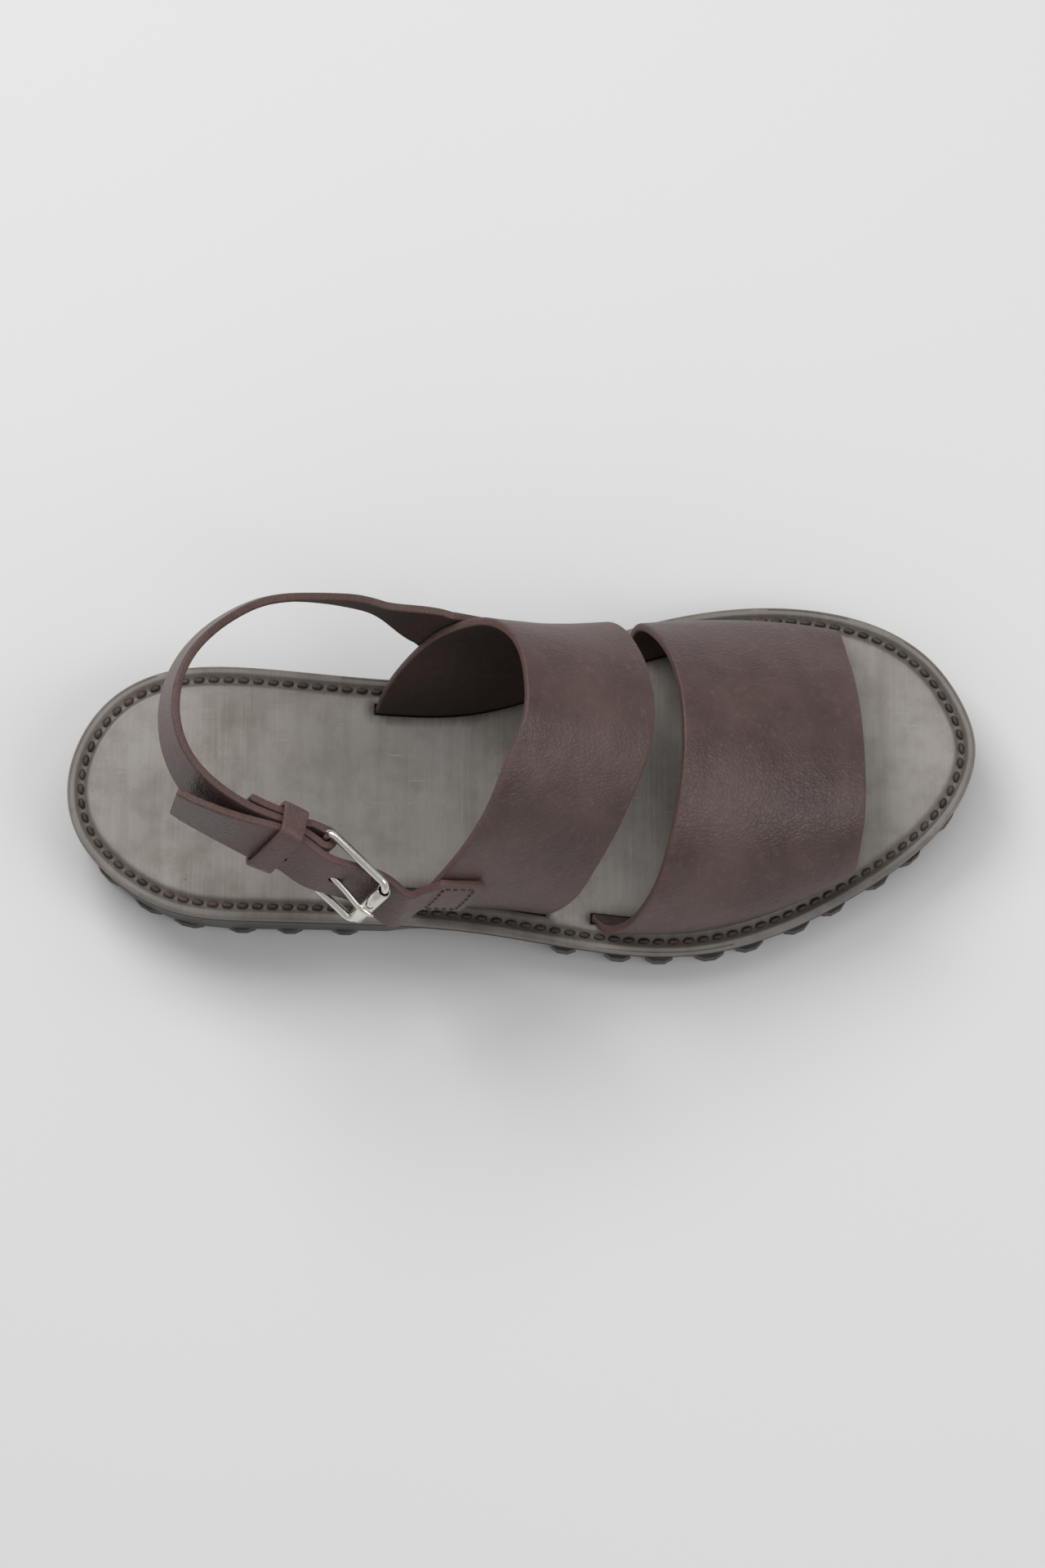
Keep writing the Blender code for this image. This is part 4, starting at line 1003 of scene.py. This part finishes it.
def footbed_stitch_line():
    """Points and normals of the stitched row, in the channel round the footbed."""
    plan = RIM - RIM_NORMAL * CHANNEL_INSET
    plan = np.vstack([plan, plan[:1]])
    line = np.column_stack([plan, edge_height(plan[:, 0]) - CHANNEL_DEPTH + STITCH_LIFT])
    return line, np.tile([0.0, 0.0, 1.0], (len(line), 1))


def sewn_box(surface, seam):
    """The stitched rectangle on a sewn end, with its normals."""
    patch = Surface(np.array(sewn_rows(surface, seam, SEWN_FINE)))
    outward = np.array([0.0, seam["side"], SEAM_OUTWARD])
    first = SEAM_INSET / SEWN_LENGTH
    side = SEAM_INSET / HEEL_STRAP_WIDTH
    far = SEAM_FAR
    corners = [(first, side), (first, 1 - side), (far, 1 - side), (far, side), (first, side)]
    lines = []
    for start, end in zip(corners[:-1], corners[1:]):
        line = []
        normals = []
        for share in np.linspace(0, 1, 9):
            over = start[0] * (1 - share) + end[0] * share
            across = start[1] * (1 - share) + end[1] * share
            normal = patch.normal(over, across, outward)
            line.append(patch.at(over, across) + normal * (STRAP_THICK / 2 + SEAM_LIFT))
            normals.append(normal)
        lines.append((np.array(line), np.array(normals)))
    return lines


# Narrow straps and the buckle
def heel_strap_rows(surface):
    """Rows of the heel strap, from its sewn end round the bar to the end of its return."""
    _, centres, across, outward = heel_strap_run(surface)
    rows = list(sewn_rows(surface, MEDIAL_SEAM, SEWN_FINE))
    keep = pick(FREE_ROWS, len(centres))[2:-1]
    rows += list(rows_across(centres[keep], across[keep]))
    angles = np.linspace(0, pi, FOLD_STEPS)
    bends = [BAR + FOLD_RADIUS * (OUT_AXIS * cos(a) + ALONG_AXIS * sin(a)) for a in angles]
    rows += list(rows_across(np.array(bends), np.repeat(ACROSS_AXIS[None], len(bends), axis=0)))
    walk = walked(centres)
    back = walk[-1] - walk
    for distance in np.linspace(RETURN_START, 1.0, RETURN_STEPS) * RETURN_LENGTH:
        spot = int(np.argmin(np.abs(back - distance)))
        settled = float(eased(distance / (RETURN_SETTLED * RETURN_LENGTH))[0])
        drop = 2 * FOLD_RADIUS * (1 - settled) + LAYER_PITCH * settled
        rows += list(rows_across(centres[spot:spot + 1] - outward[spot] * drop, across[spot:spot + 1]))
    return np.array(rows), centres, across, outward


def block_cutter(centre, size):
    """A box in the buckle's axes, used as a cutter."""
    corners = []
    for a in (-0.5, 0.5):
        for b in (-0.5, 0.5):
            for c in (-0.5, 0.5):
                corners.append(centre + ALONG_AXIS * a * size[0] + ACROSS_AXIS * b * size[1]
                               + OUT_AXIS * c * size[2])
    faces = [[0, 1, 3, 2], [4, 6, 7, 5], [0, 4, 5, 1], [2, 3, 7, 6], [0, 2, 6, 4], [1, 5, 7, 3]]
    return cutter_mesh(corners, faces)


def cutter_mesh(points, faces):
    """An object that cuts another and is removed after."""
    mesh = bpy.data.meshes.new("cutter")
    mesh.from_pydata([tuple(map(float, p)) for p in points], [], faces)
    made = bpy.data.objects.new("cutter", mesh)
    bpy.context.scene.collection.objects.link(made)
    return made


def rod_cutter(start, end, radius, sides=28):
    """A round rod between two points, used as a cutter."""
    way = unit(end - start)
    side = unit(np.cross(way, [0.3, 0.2, 0.9]))
    other = np.cross(way, side)
    points = []
    for spot in (start, end):
        for number in range(sides):
            angle = 2 * pi * number / sides
            points.append(spot + (side * cos(angle) + other * sin(angle)) * radius)
    return cutter_mesh(points, prism_faces(sides))


def make_straps(finish, thread):
    """The wide straps, the heel strap, the buckle strap, the keeper and their stitches."""
    front = wide_strap_grid(FRONT_REAR_EDGE, FRONT_FORE_EDGE, FRONT_STRAP_HEIGHT,
                            FRONT_SLOTS, WIDE_ROWS, WIDE_LANES)
    strip("front_strap_leather", front, STRAP_THICK, finish, "front_strap", relief=WIDE_RELIEF)
    tables = (INSTEP_REAR_EDGE, INSTEP_FORE_EDGE, INSTEP_STRAP_HEIGHT, INSTEP_SLOTS)
    instep = wide_strap_grid(*tables, WIDE_ROWS, WIDE_LANES)
    strip("instep_strap_leather", instep, STRAP_THICK, finish, "instep_strap", relief=WIDE_RELIEF)
    surface = Surface(wide_strap_grid(*tables, STRAP_STEPS, STRAP_LANES + 1))
    rows, centres, across, outward = heel_strap_rows(surface)
    heel = strip("heel_strap_leather", rows, STRAP_THICK, finish, "heel_strap", relief=NARROW_RELIEF)
    opening = 2 * (PRONG_RADIUS + PRONG_SLOT_ROOM)
    reach = (2 * FOLD_RADIUS + STRAP_THICK) * 2
    cut(heel, block_cutter(BAR, (PRONG_SLOT_LENGTH, opening, reach)), crossing=True)
    billet = strip("buckle_strap_leather", np.array(billet_rows(surface)), STRAP_THICK, finish,
                   "buckle_strap", relief=NARROW_RELIEF)
    punch(billet)
    strip("keeper_leather", keeper_rows(centres, across, outward), KEEPER_THICK, finish, "keeper",
          closed=True, radius=KEEPER_EDGE_RADIUS)
    boxes = sewn_box(surface, MEDIAL_SEAM) + sewn_box(surface, LATERAL_SEAM)
    returns = return_lines(centres, across, outward)
    for name, lines in (("strap_stitches", boxes), ("return_stitches", returns)):
        stitches(name, lines, SEAM_PITCH, SEAM_LENGTH, SEAM_THREAD, thread)


def punch(billet):
    """The prong's hole and the free hole of the buckle strap."""
    path = prong_path()
    start = path[len(PRONG_COIL) - 1]
    end = path[-2]
    way = unit(end - start) * PRONG_RADIUS
    cut(billet, rod_cutter(start - way, end + way, PRONG_RADIUS + HOLE_ROOM))
    free = BAR - ALONG_AXIS * FREE_HOLE_BACK + OUT_AXIS * FOLD_RADIUS - ACROSS_AXIS * FREE_HOLE_LOW
    cut(billet, rod_cutter(free, free + OUT_AXIS * FREE_HOLE_DEEP, FREE_HOLE_RADIUS))


def return_lines(centres, across, outward):
    """Two stitched rows across the folded return, on the strap's outer face."""
    back = walked(centres)[-1] - walked(centres)
    lines = []
    for distance in RETURN_SEAMS:
        spot = int(np.argmin(np.abs(back - distance)))
        for face in (STRAP_THICK / 2, -LAYER_PITCH - STRAP_THICK / 2):
            middle = centres[spot] + outward[spot] * face
            reach = across[spot] * (HEEL_STRAP_WIDTH / 2 - SEAM_INSET)
            line = np.array([middle - reach, middle, middle + reach])
            normals = np.tile(outward[spot] * (1 if face > 0 else -1), (3, 1))
            lines.append((line, normals))
    return lines


def keeper_rows(centres, across, outward):
    """Rows of the keeper's loop round both straps."""
    back = walked(centres)[-1] - walked(centres)
    half_wide = HEEL_STRAP_WIDTH / 2 + KEEPER_ROOM + KEEPER_THICK / 2
    half_deep = LAYER_PITCH + STRAP_THICK / 2 + KEEPER_ROOM + KEEPER_THICK / 2
    loop = np.array(rounded_loop(half_deep, half_wide, (KEEPER_CORNER, KEEPER_CORNER), 6))
    loop = resample(np.vstack([loop, loop[:1]]), KEEPER_STEPS)[:-1]
    lanes = []
    for end in np.linspace(KEEPER_WIDTH / 2, -KEEPER_WIDTH / 2, KEEPER_LANES):
        spot = int(np.argmin(np.abs(back - KEEPER_BACK - end)))
        lanes.append(centres[spot] + loop[:, :1] * outward[spot] + loop[:, 1:] * across[spot])
    return np.array(lanes).transpose(1, 0, 2)


def wire(name, points, radii, finish, node, cyclic=False):
    """A round wire along a path, with a radius at each point."""
    curve = bpy.data.curves.new(name, "CURVE")
    curve.dimensions = "3D"
    curve.bevel_depth = 1.0
    curve.bevel_resolution = 6
    curve.use_fill_caps = True
    path = curve.splines.new("POLY")
    path.points.add(len(points) - 1)
    for point, spot, radius in zip(path.points, points, radii):
        point.co = (*map(float, spot), 1.0)
        point.radius = radius
    path.use_cyclic_u = cyclic
    made = bpy.data.objects.new(name, curve)
    bpy.context.scene.collection.objects.link(made)
    curve.materials.append(finish)
    settle(made, node)
    return made


def make_buckle(finish):
    """The polished frame, its roller and its prong."""
    middle = (BAR + ROLLER) / 2
    loop = np.array(rounded_loop(BUCKLE_REACH / 2, BUCKLE_SIDE, (REAR_CORNER, FORE_CORNER), 10))
    path = [middle + ALONG_AXIS * a + ACROSS_AXIS * b for a, b in loop]
    wire("buckle_frame_metal", path, [WIRE_RADIUS] * len(path), finish, "buckle_frame", cyclic=True)
    make_roller(finish)
    path = np.array(prong_path())
    coil = len(PRONG_COIL)
    bend = spline(path[:coil], samples=60)
    shaft = spline(path[coil - 1:], samples=30)[1:]
    points = np.vstack([bend, shaft])
    radii = [PRONG_RADIUS] * (len(points) - len(PRONG_TIP)) + [PRONG_RADIUS * share for share in PRONG_TIP]
    wire("buckle_prong_metal", points, radii, finish, "buckle_prong")


def make_roller(finish):
    """The roller: a turned tube with rounded ends."""
    half = BUCKLE_SIDE - FORE_CORNER - RUNNING_GAP
    lip = half + ROLLER_LIP
    bore = ROLLER_RADIUS - ROLLER_WALL
    inner = ROLLER_RADIUS - ROLLER_WALL * 0.7
    outer = ROLLER_RADIUS - ROLLER_WALL * 0.3
    edge = half - ROLLER_ROUND
    profile = [(bore, -half), (bore, half), (inner, lip), (outer, lip),
               (ROLLER_RADIUS, edge), (ROLLER_RADIUS, -edge), (outer, -lip), (inner, -lip)]
    points = []
    for number in range(ROLLER_STEPS):
        angle = 2 * pi * number / ROLLER_STEPS
        spoke = ALONG_AXIS * cos(angle) + OUT_AXIS * sin(angle)
        points += [ROLLER + spoke * radius + ACROSS_AXIS * level for radius, level in profile]
    wide = len(profile)
    faces = []
    for i in range(ROLLER_STEPS):
        for j in range(wide):
            k = (j + 1) % wide
            high = ((i + 1) % ROLLER_STEPS) * wide
            faces.append([i * wide + j, i * wide + k, high + k, high + j])
    roller = piece("buckle_roller_metal", points, faces, finish, "buckle_roller")
    roller.data.set_sharp_from_angle(angle=radians(40))


# Materials
def add(tree, kind, inputs=None, **settings):
    """A node with its settings and its linked or set inputs."""
    made = tree.nodes.new(kind)
    for key, value in settings.items():
        setattr(made, key, value)
    for key, value in (inputs or {}).items():
        if isinstance(value, bpy.types.NodeSocket):
            tree.links.new(value, made.inputs[key])
        else:
            made.inputs[key].default_value = value
    return made


def mixed(tree, factor, first, second):
    """A blend of two colours."""
    made = add(tree, "ShaderNodeMix", data_type="RGBA")
    for slot_number, value in ((0, factor), (6, first), (7, second)):
        if isinstance(value, bpy.types.NodeSocket):
            tree.links.new(value, made.inputs[slot_number])
        else:
            made.inputs[slot_number].default_value = value
    return made.outputs[2]


def sums(tree, operation, first, second):
    """A sum, product or other operation of two values."""
    return add(tree, "ShaderNodeMath", {0: first, 1: second}, operation=operation).outputs[0]


def voronoi(tree, vector, scale, **settings):
    """Distances in a cell pattern."""
    made = add(tree, "ShaderNodeTexVoronoi", {"Vector": vector, "Scale": scale}, **settings)
    return made.outputs["Distance"]


def field_of(tree, name):
    """A value stored on the piece's points."""
    return add(tree, "ShaderNodeAttribute", attribute_name=name).outputs["Fac"]


def bumped(tree, shader, height, strength, distance):
    """Relief from a height."""
    made = add(tree, "ShaderNodeBump", {"Height": height, "Strength": strength, "Distance": distance})
    tree.links.new(made.outputs["Normal"], shader.inputs["Normal"])


def spread(tree, value, low, high, new_low=0.0, new_high=1.0):
    """A value mapped from one range to another."""
    made = add(tree, "ShaderNodeMapRange", {"Value": value, "From Min": low, "From Max": high,
                                            "To Min": new_low, "To Max": new_high})
    return made.outputs["Result"]


def noise_of(tree, vector, scale, detail=3.0, rough=0.5):
    """Noise at a scale."""
    inputs = {"Vector": vector, "Scale": scale, "Detail": detail, "Roughness": rough}
    return add(tree, "ShaderNodeTexNoise", inputs).outputs["Fac"]


def stretched(tree, vector, scale):
    """Coordinates scaled unevenly."""
    return add(tree, "ShaderNodeMapping", {"Vector": vector, "Scale": scale}).outputs["Vector"]


def start_material(name):
    """A material with its tree, shader and coordinates."""
    made = bpy.data.materials.new(name)
    made.use_nodes = True
    tree = made.node_tree
    shader = tree.nodes["Principled BSDF"]
    where = add(tree, "ShaderNodeTexCoord")
    return made, tree, shader, where


def colour(red, green, blue):
    """A linear colour from its 0 to 255 screen values."""
    values = [v / 255 for v in (red, green, blue)]
    return (*[v / 12.92 if v <= 0.04045 else ((v + 0.055) / 1.055) ** 2.4 for v in values], 1.0)


def strap_finish():
    """Dark chocolate leather with a burgundy cast, rubbed edges and a suede inside."""
    made, tree, shader, where = start_material("strap_leather_detailed")
    spot = where.outputs["Object"]
    edge = field_of(tree, "edge")
    inner = field_of(tree, "inner")
    cloud = noise_of(tree, spot, 28.0, 4.0, 0.6)
    fine = noise_of(tree, spot, 420.0, 4.0, 0.6)
    pores = voronoi(tree, spot, 1500.0)
    grain = voronoi(tree, spot, 620.0, feature="DISTANCE_TO_EDGE")
    base = mixed(tree, spread(tree, cloud, 0.3, 0.7), colour(66, 49, 46), colour(96, 76, 72))
    base = mixed(tree, spread(tree, fine, 0.55, 0.8, 0.0, 0.4), base, colour(118, 98, 92))
    worn = sums(tree, "MULTIPLY", edge, spread(tree, fine, 0.3, 0.65))
    base = mixed(tree, sums(tree, "MULTIPLY", worn, 0.5), base, colour(98, 66, 56))
    suede = mixed(tree, fine, colour(48, 36, 32), colour(74, 57, 50))
    base = mixed(tree, inner, base, suede)
    tree.links.new(base, shader.inputs["Base Color"])
    rough = spread(tree, cloud, 0.3, 0.7, 0.32, 0.46)
    rough = sums(tree, "ADD", rough, sums(tree, "MULTIPLY", inner, 0.45))
    rough = sums(tree, "ADD", rough, sums(tree, "MULTIPLY", edge, 0.12))
    tree.links.new(rough, shader.inputs["Roughness"])
    height = sums(tree, "MULTIPLY", spread(tree, grain, 0.0, 0.25), 0.5)
    height = sums(tree, "ADD", height, sums(tree, "MULTIPLY", pores, 0.35))
    height = sums(tree, "ADD", height, sums(tree, "MULTIPLY", noise_of(tree, spot, 90.0, 3.0), 2.2))
    folds = noise_of(tree, stretched(tree, spot, (150.0, 36.0, 70.0)), 1.0, 3.0, 0.6)
    height = sums(tree, "ADD", height, sums(tree, "MULTIPLY", folds, 3.0))
    bumped(tree, shader, height, 0.55, 0.00026)
    return made


def bed_finish():
    """Grey-brown footbed leather with transverse brush streaks, pits and scratches, a darker rim and side,
    and painted shade in its channel and round its slots.
    """
    made, tree, shader, where = start_material("footbed_leather_detailed")
    spot = where.outputs["Object"]
    streak = noise_of(tree, stretched(tree, spot, (1100.0, 26.0, 26.0)), 1.0, 4.0, 0.65)
    wide = noise_of(tree, stretched(tree, spot, (160.0, 12.0, 12.0)), 1.0, 3.0, 0.6)
    cloud = noise_of(tree, spot, 17.0, 3.0, 0.55)
    pits = voronoi(tree, spot, 210.0)
    pit = spread(tree, pits, 0.03, 0.10, 1.0, 0.0)
    rare = spread(tree, noise_of(tree, spot, 75.0, 2.0), 0.60, 0.66)
    pit = sums(tree, "MULTIPLY", pit, rare)
    base = mixed(tree, spread(tree, cloud, 0.3, 0.7), colour(120, 113, 105), colour(152, 146, 139))
    mottle = noise_of(tree, spot, 95.0, 5.0, 0.7)
    scratches = noise_of(tree, stretched(tree, spot, (45.0, 900.0, 45.0)), 1.0, 2.0, 0.5)
    scratches = sums(tree, "MULTIPLY", spread(tree, scratches, 0.68, 0.73), spread(tree, mottle, 0.5, 0.62))
    base = mixed(tree, spread(tree, streak, 0.35, 0.72, 0.0, 0.32), base, colour(172, 166, 160))
    base = mixed(tree, spread(tree, wide, 0.5, 0.75, 0.0, 0.35), base, colour(98, 88, 79))
    base = mixed(tree, spread(tree, mottle, 0.45, 0.75, 0.0, 0.5), base, colour(92, 80, 70))
    base = mixed(tree, sums(tree, "MULTIPLY", scratches, 0.5), base, colour(190, 184, 176))
    base = mixed(tree, sums(tree, "MULTIPLY", pit, 0.8), base, colour(52, 44, 38))
    # Painted shade in the channel and round the slots, and the darker tone of the rim and side.
    shade_and_edge_band = field_of(tree, "shade_and_edge_tone")
    base = mixed(tree, shade_and_edge_band, base, colour(58, 48, 42))
    tree.links.new(base, shader.inputs["Base Color"])
    rough = spread(tree, streak, 0.3, 0.7, 0.26, 0.42)
    rough = sums(tree, "ADD", rough, sums(tree, "MULTIPLY", shade_and_edge_band, 0.16))
    tree.links.new(rough, shader.inputs["Roughness"])
    height = sums(tree, "ADD", sums(tree, "MULTIPLY", streak, 0.35), sums(tree, "MULTIPLY", wide, 0.8))
    height = sums(tree, "SUBTRACT", height, sums(tree, "MULTIPLY", pit, 1.2))
    bumped(tree, shader, height, 0.35, 0.0002)
    return made


def rubber_finish():
    """Charcoal rubber with fine moulding texture and ribs under the waist."""
    made, tree, shader, where = start_material("sole_rubber_detailed")
    spot = where.outputs["Object"]
    fine = noise_of(tree, spot, 900.0, 3.0, 0.6)
    cloud = noise_of(tree, spot, 30.0, 3.0, 0.5)
    base = mixed(tree, spread(tree, cloud, 0.3, 0.7), colour(56, 54, 51), colour(72, 69, 66))
    base = mixed(tree, spread(tree, fine, 0.6, 0.8, 0.0, 0.4), base, colour(96, 92, 88))
    scuff = noise_of(tree, stretched(tree, spot, (60.0, 60.0, 400.0)), 1.0, 4.0, 0.7)
    base = mixed(tree, spread(tree, scuff, 0.58, 0.75, 0.0, 0.45), base, colour(104, 99, 93))
    tree.links.new(base, shader.inputs["Base Color"])
    tree.links.new(spread(tree, cloud, 0.3, 0.7, 0.42, 0.6), shader.inputs["Roughness"])
    place_on = add(tree, "ShaderNodeSeparateXYZ", {"Vector": spot})
    turns = sums(tree, "MULTIPLY", place_on.outputs["Y"], 2 * pi / RIB_PITCH)
    ribs = add(tree, "ShaderNodeMath", {0: turns}, operation="SINE").outputs[0]
    start, end = float(along(BREAST_AT)), float(along(TREAD_AT))
    rear = spread(tree, place_on.outputs["X"], start, start + RIB_FADE)
    fore = spread(tree, place_on.outputs["X"], end - RIB_FADE, end, 1.0, 0.0)
    facing = add(tree, "ShaderNodeSeparateXYZ", {"Vector": where.outputs["Normal"]}).outputs["Z"]
    under = spread(tree, facing, -0.6, -0.8)
    ribs = sums(tree, "MULTIPLY", ribs, sums(tree, "MULTIPLY", under, sums(tree, "MULTIPLY", rear, fore)))
    height = sums(tree, "ADD", sums(tree, "MULTIPLY", ribs, 1.2), sums(tree, "MULTIPLY", fine, 0.4))
    bumped(tree, shader, height, 0.5, 0.0003)
    return made


def thread_finish():
    """Waxed dark brown thread."""
    made, tree, shader, where = start_material("waxed_thread")
    spot = where.outputs["Object"]
    fibre = noise_of(tree, spot, 2600.0, 3.0, 0.6)
    tint = noise_of(tree, spot, 120.0, 2.0)
    base = mixed(tree, spread(tree, tint, 0.35, 0.65), colour(44, 33, 27), colour(78, 60, 49))
    tree.links.new(base, shader.inputs["Base Color"])
    tree.links.new(spread(tree, fibre, 0.3, 0.7, 0.4, 0.6), shader.inputs["Roughness"])
    bumped(tree, shader, fibre, 0.5, 0.0001)
    return made


def metal_finish():
    """Polished nickel with hairline scratches."""
    made, tree, shader, where = start_material("buckle_metal_detailed")
    spot = where.outputs["Object"]
    scratch = noise_of(tree, stretched(tree, spot, (300.0, 2400.0, 900.0)), 1.0, 4.0, 0.7)
    tint = noise_of(tree, spot, 160.0, 2.0)
    base = mixed(tree, tint, colour(214, 209, 200), colour(238, 236, 230))
    tree.links.new(base, shader.inputs["Base Color"])
    shader.inputs["Metallic"].default_value = 1.0
    tree.links.new(spread(tree, scratch, 0.35, 0.75, 0.12, 0.3), shader.inputs["Roughness"])
    bumped(tree, shader, scratch, 0.12, 0.0001)
    return made


def mark_shade_and_edge_tone(bed):
    """Darken the footbed as an attribute of its points: painted shade in its channel and round its slots,
    and the darker tone of its rim and side.
    """
    mesh = bed.data
    flat = np.zeros(len(mesh.vertices) * 3)
    mesh.vertices.foreach_get("co", flat)
    points = flat.reshape(-1, 3)
    gap = np.full(len(points), 1.0)
    for start in range(0, len(points), 2000):
        part = points[start:start + 2000, None, :2] - RIM[None, :, :]
        gap[start:start + 2000] = np.sqrt((part ** 2).sum(axis=2)).min(axis=1)
    # Painted shade along the recessed stitched channel.
    channel = np.clip(1 - (np.abs(gap - CHANNEL_INSET) / (CHANNEL_HALF * 1.25)) ** 4, 0, 1)
    # Painted shade round the mouths of the slots.
    nearest = np.full(len(points), 1.0)
    for line in slot_lines():
        part = points[:, None, :2] - line[None, :, :]
        nearest = np.minimum(nearest, np.sqrt((part ** 2).sum(axis=2)).min(axis=1))
    slot = np.exp(-(np.maximum(nearest - STRAP_THICK / 2, 0) / SLOT_SHADE_REACH) ** 2)
    # The darker tone of the footbed's side and of its rim.
    side = np.clip((edge_height(points[:, 0]) - RIM_ROUND * 0.7 - points[:, 2]) / 0.0004, 0, 1)
    side = side * (gap < 0.001)
    rim = np.clip(1 - (gap - CHANNEL_INSET) / RIM_DARK_REACH, 0, 1)
    shade_and_edge_tone = np.maximum.reduce([CHANNEL_PAINTED_SHADE * channel, SLOT_PAINTED_SHADE * slot, SIDE_DARK * side, RIM_DARK * rim])
    field = mesh.attributes.new("shade_and_edge_tone", "FLOAT", "POINT")
    field.data.foreach_set("value", shade_and_edge_tone)


def make_outsole_piece(node, finish):
    """The moulded rubber with rounded edges."""
    mesh = node.data.copy()
    mesh.materials.clear()
    mesh.materials.append(finish)
    work = bmesh.new()
    work.from_mesh(mesh)
    bmesh.ops.remove_doubles(work, verts=work.verts, dist=1e-5)
    bmesh.ops.dissolve_limit(work, angle_limit=radians(1), verts=work.verts, edges=work.edges)
    bmesh.ops.recalc_face_normals(work, faces=work.faces)
    work.to_mesh(mesh)
    work.free()
    mesh.shade_smooth()
    mesh.set_sharp_from_angle(angle=radians(35))
    made = bpy.data.objects.new("outsole_rubber", mesh)
    bpy.context.scene.collection.objects.link(made)
    soft = made.modifiers.new("Edges", "BEVEL")
    soft.width = 0.00035
    soft.segments = 2
    soft.limit_method = "ANGLE"
    soft.angle_limit = radians(35)
    soft.use_clamp_overlap = True
    settle(made, "outsole")


# Camera, floor and light
def make_camera():
    """The camera at the photograph's angle."""
    data = bpy.data.cameras.new("camera")
    made = bpy.data.objects.new("camera", data)
    bpy.context.scene.collection.objects.link(made)
    data.sensor_fit = "HORIZONTAL"
    data.sensor_width = SENSOR
    data.lens = CAMERA_LENS
    rise = radians(CAMERA_RISE)
    back = Vector((0, -cos(rise), sin(rise)))
    made.location = Vector(CAMERA_TARGET) + back * CAMERA_REACH
    made.rotation_mode = "QUATERNION"
    made.rotation_quaternion = (-back).to_track_quat("-Z", "Y")
    bpy.context.scene.camera = made


def make_floor():
    """A plain pale floor."""
    half = FLOOR_SIZE / 2
    mesh = bpy.data.meshes.new("floor")
    corners = [(-half, -half, 0), (half, -half, 0), (half, half, 0), (-half, half, 0)]
    mesh.from_pydata(corners, [], [[0, 1, 2, 3]])
    made = bpy.data.objects.new("floor", mesh)
    bpy.context.scene.collection.objects.link(made)
    finish, tree, shader, where = start_material("pale_floor")
    tint = noise_of(tree, where.outputs["Object"], 3.0, 2.0)
    base = mixed(tree, tint, colour(226, 226, 226), colour(229, 229, 229))
    tree.links.new(base, shader.inputs["Base Color"])
    shader.inputs["Roughness"].default_value = 0.8
    mesh.materials.append(finish)


def area_light(name, spot, aim, size, power):
    """A soft light that faces a point."""
    data = bpy.data.lights.new(name, "AREA")
    data.shape = "RECTANGLE"
    data.size, data.size_y = size
    data.energy = power
    made = bpy.data.objects.new(name, data)
    made.location = spot
    made.rotation_mode = "QUATERNION"
    made.rotation_quaternion = (Vector(aim) - Vector(spot)).to_track_quat("-Z", "Y")
    bpy.context.scene.collection.objects.link(made)


def make_light():
    """Plain soft studio light."""
    world = bpy.data.worlds.new("studio")
    world.use_nodes = True
    sky = world.node_tree.nodes["Background"]
    sky.inputs["Color"].default_value = (1.0, 1.0, 1.0, 1.0)
    sky.inputs["Strength"].default_value = WORLD_STRENGTH
    bpy.context.scene.world = world
    for name, spot, size, power in LIGHTS:
        area_light(name, spot, LIGHT_AIM, size, power)
    bpy.context.scene.view_settings.view_transform = "Standard"


def main():
    """Dress the sandal."""
    leather = strap_finish()
    bed_leather = bed_finish()
    rubber = rubber_finish()
    thread = thread_finish()
    metal = metal_finish()
    make_outsole_piece(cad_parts["outsole"], rubber)
    bed = make_footbed_piece(bed_leather)
    mark_shade_and_edge_tone(bed)
    line, normals = footbed_stitch_line()
    stitches("footbed_stitches", [(line, normals)], STITCH_PITCH, STITCH_LENGTH, STITCH_RADIUS,
             thread, slant=radians(STITCH_SLANT))
    make_straps(leather, thread)
    make_buckle(metal)
    make_camera()
    make_floor()
    make_light()


main()
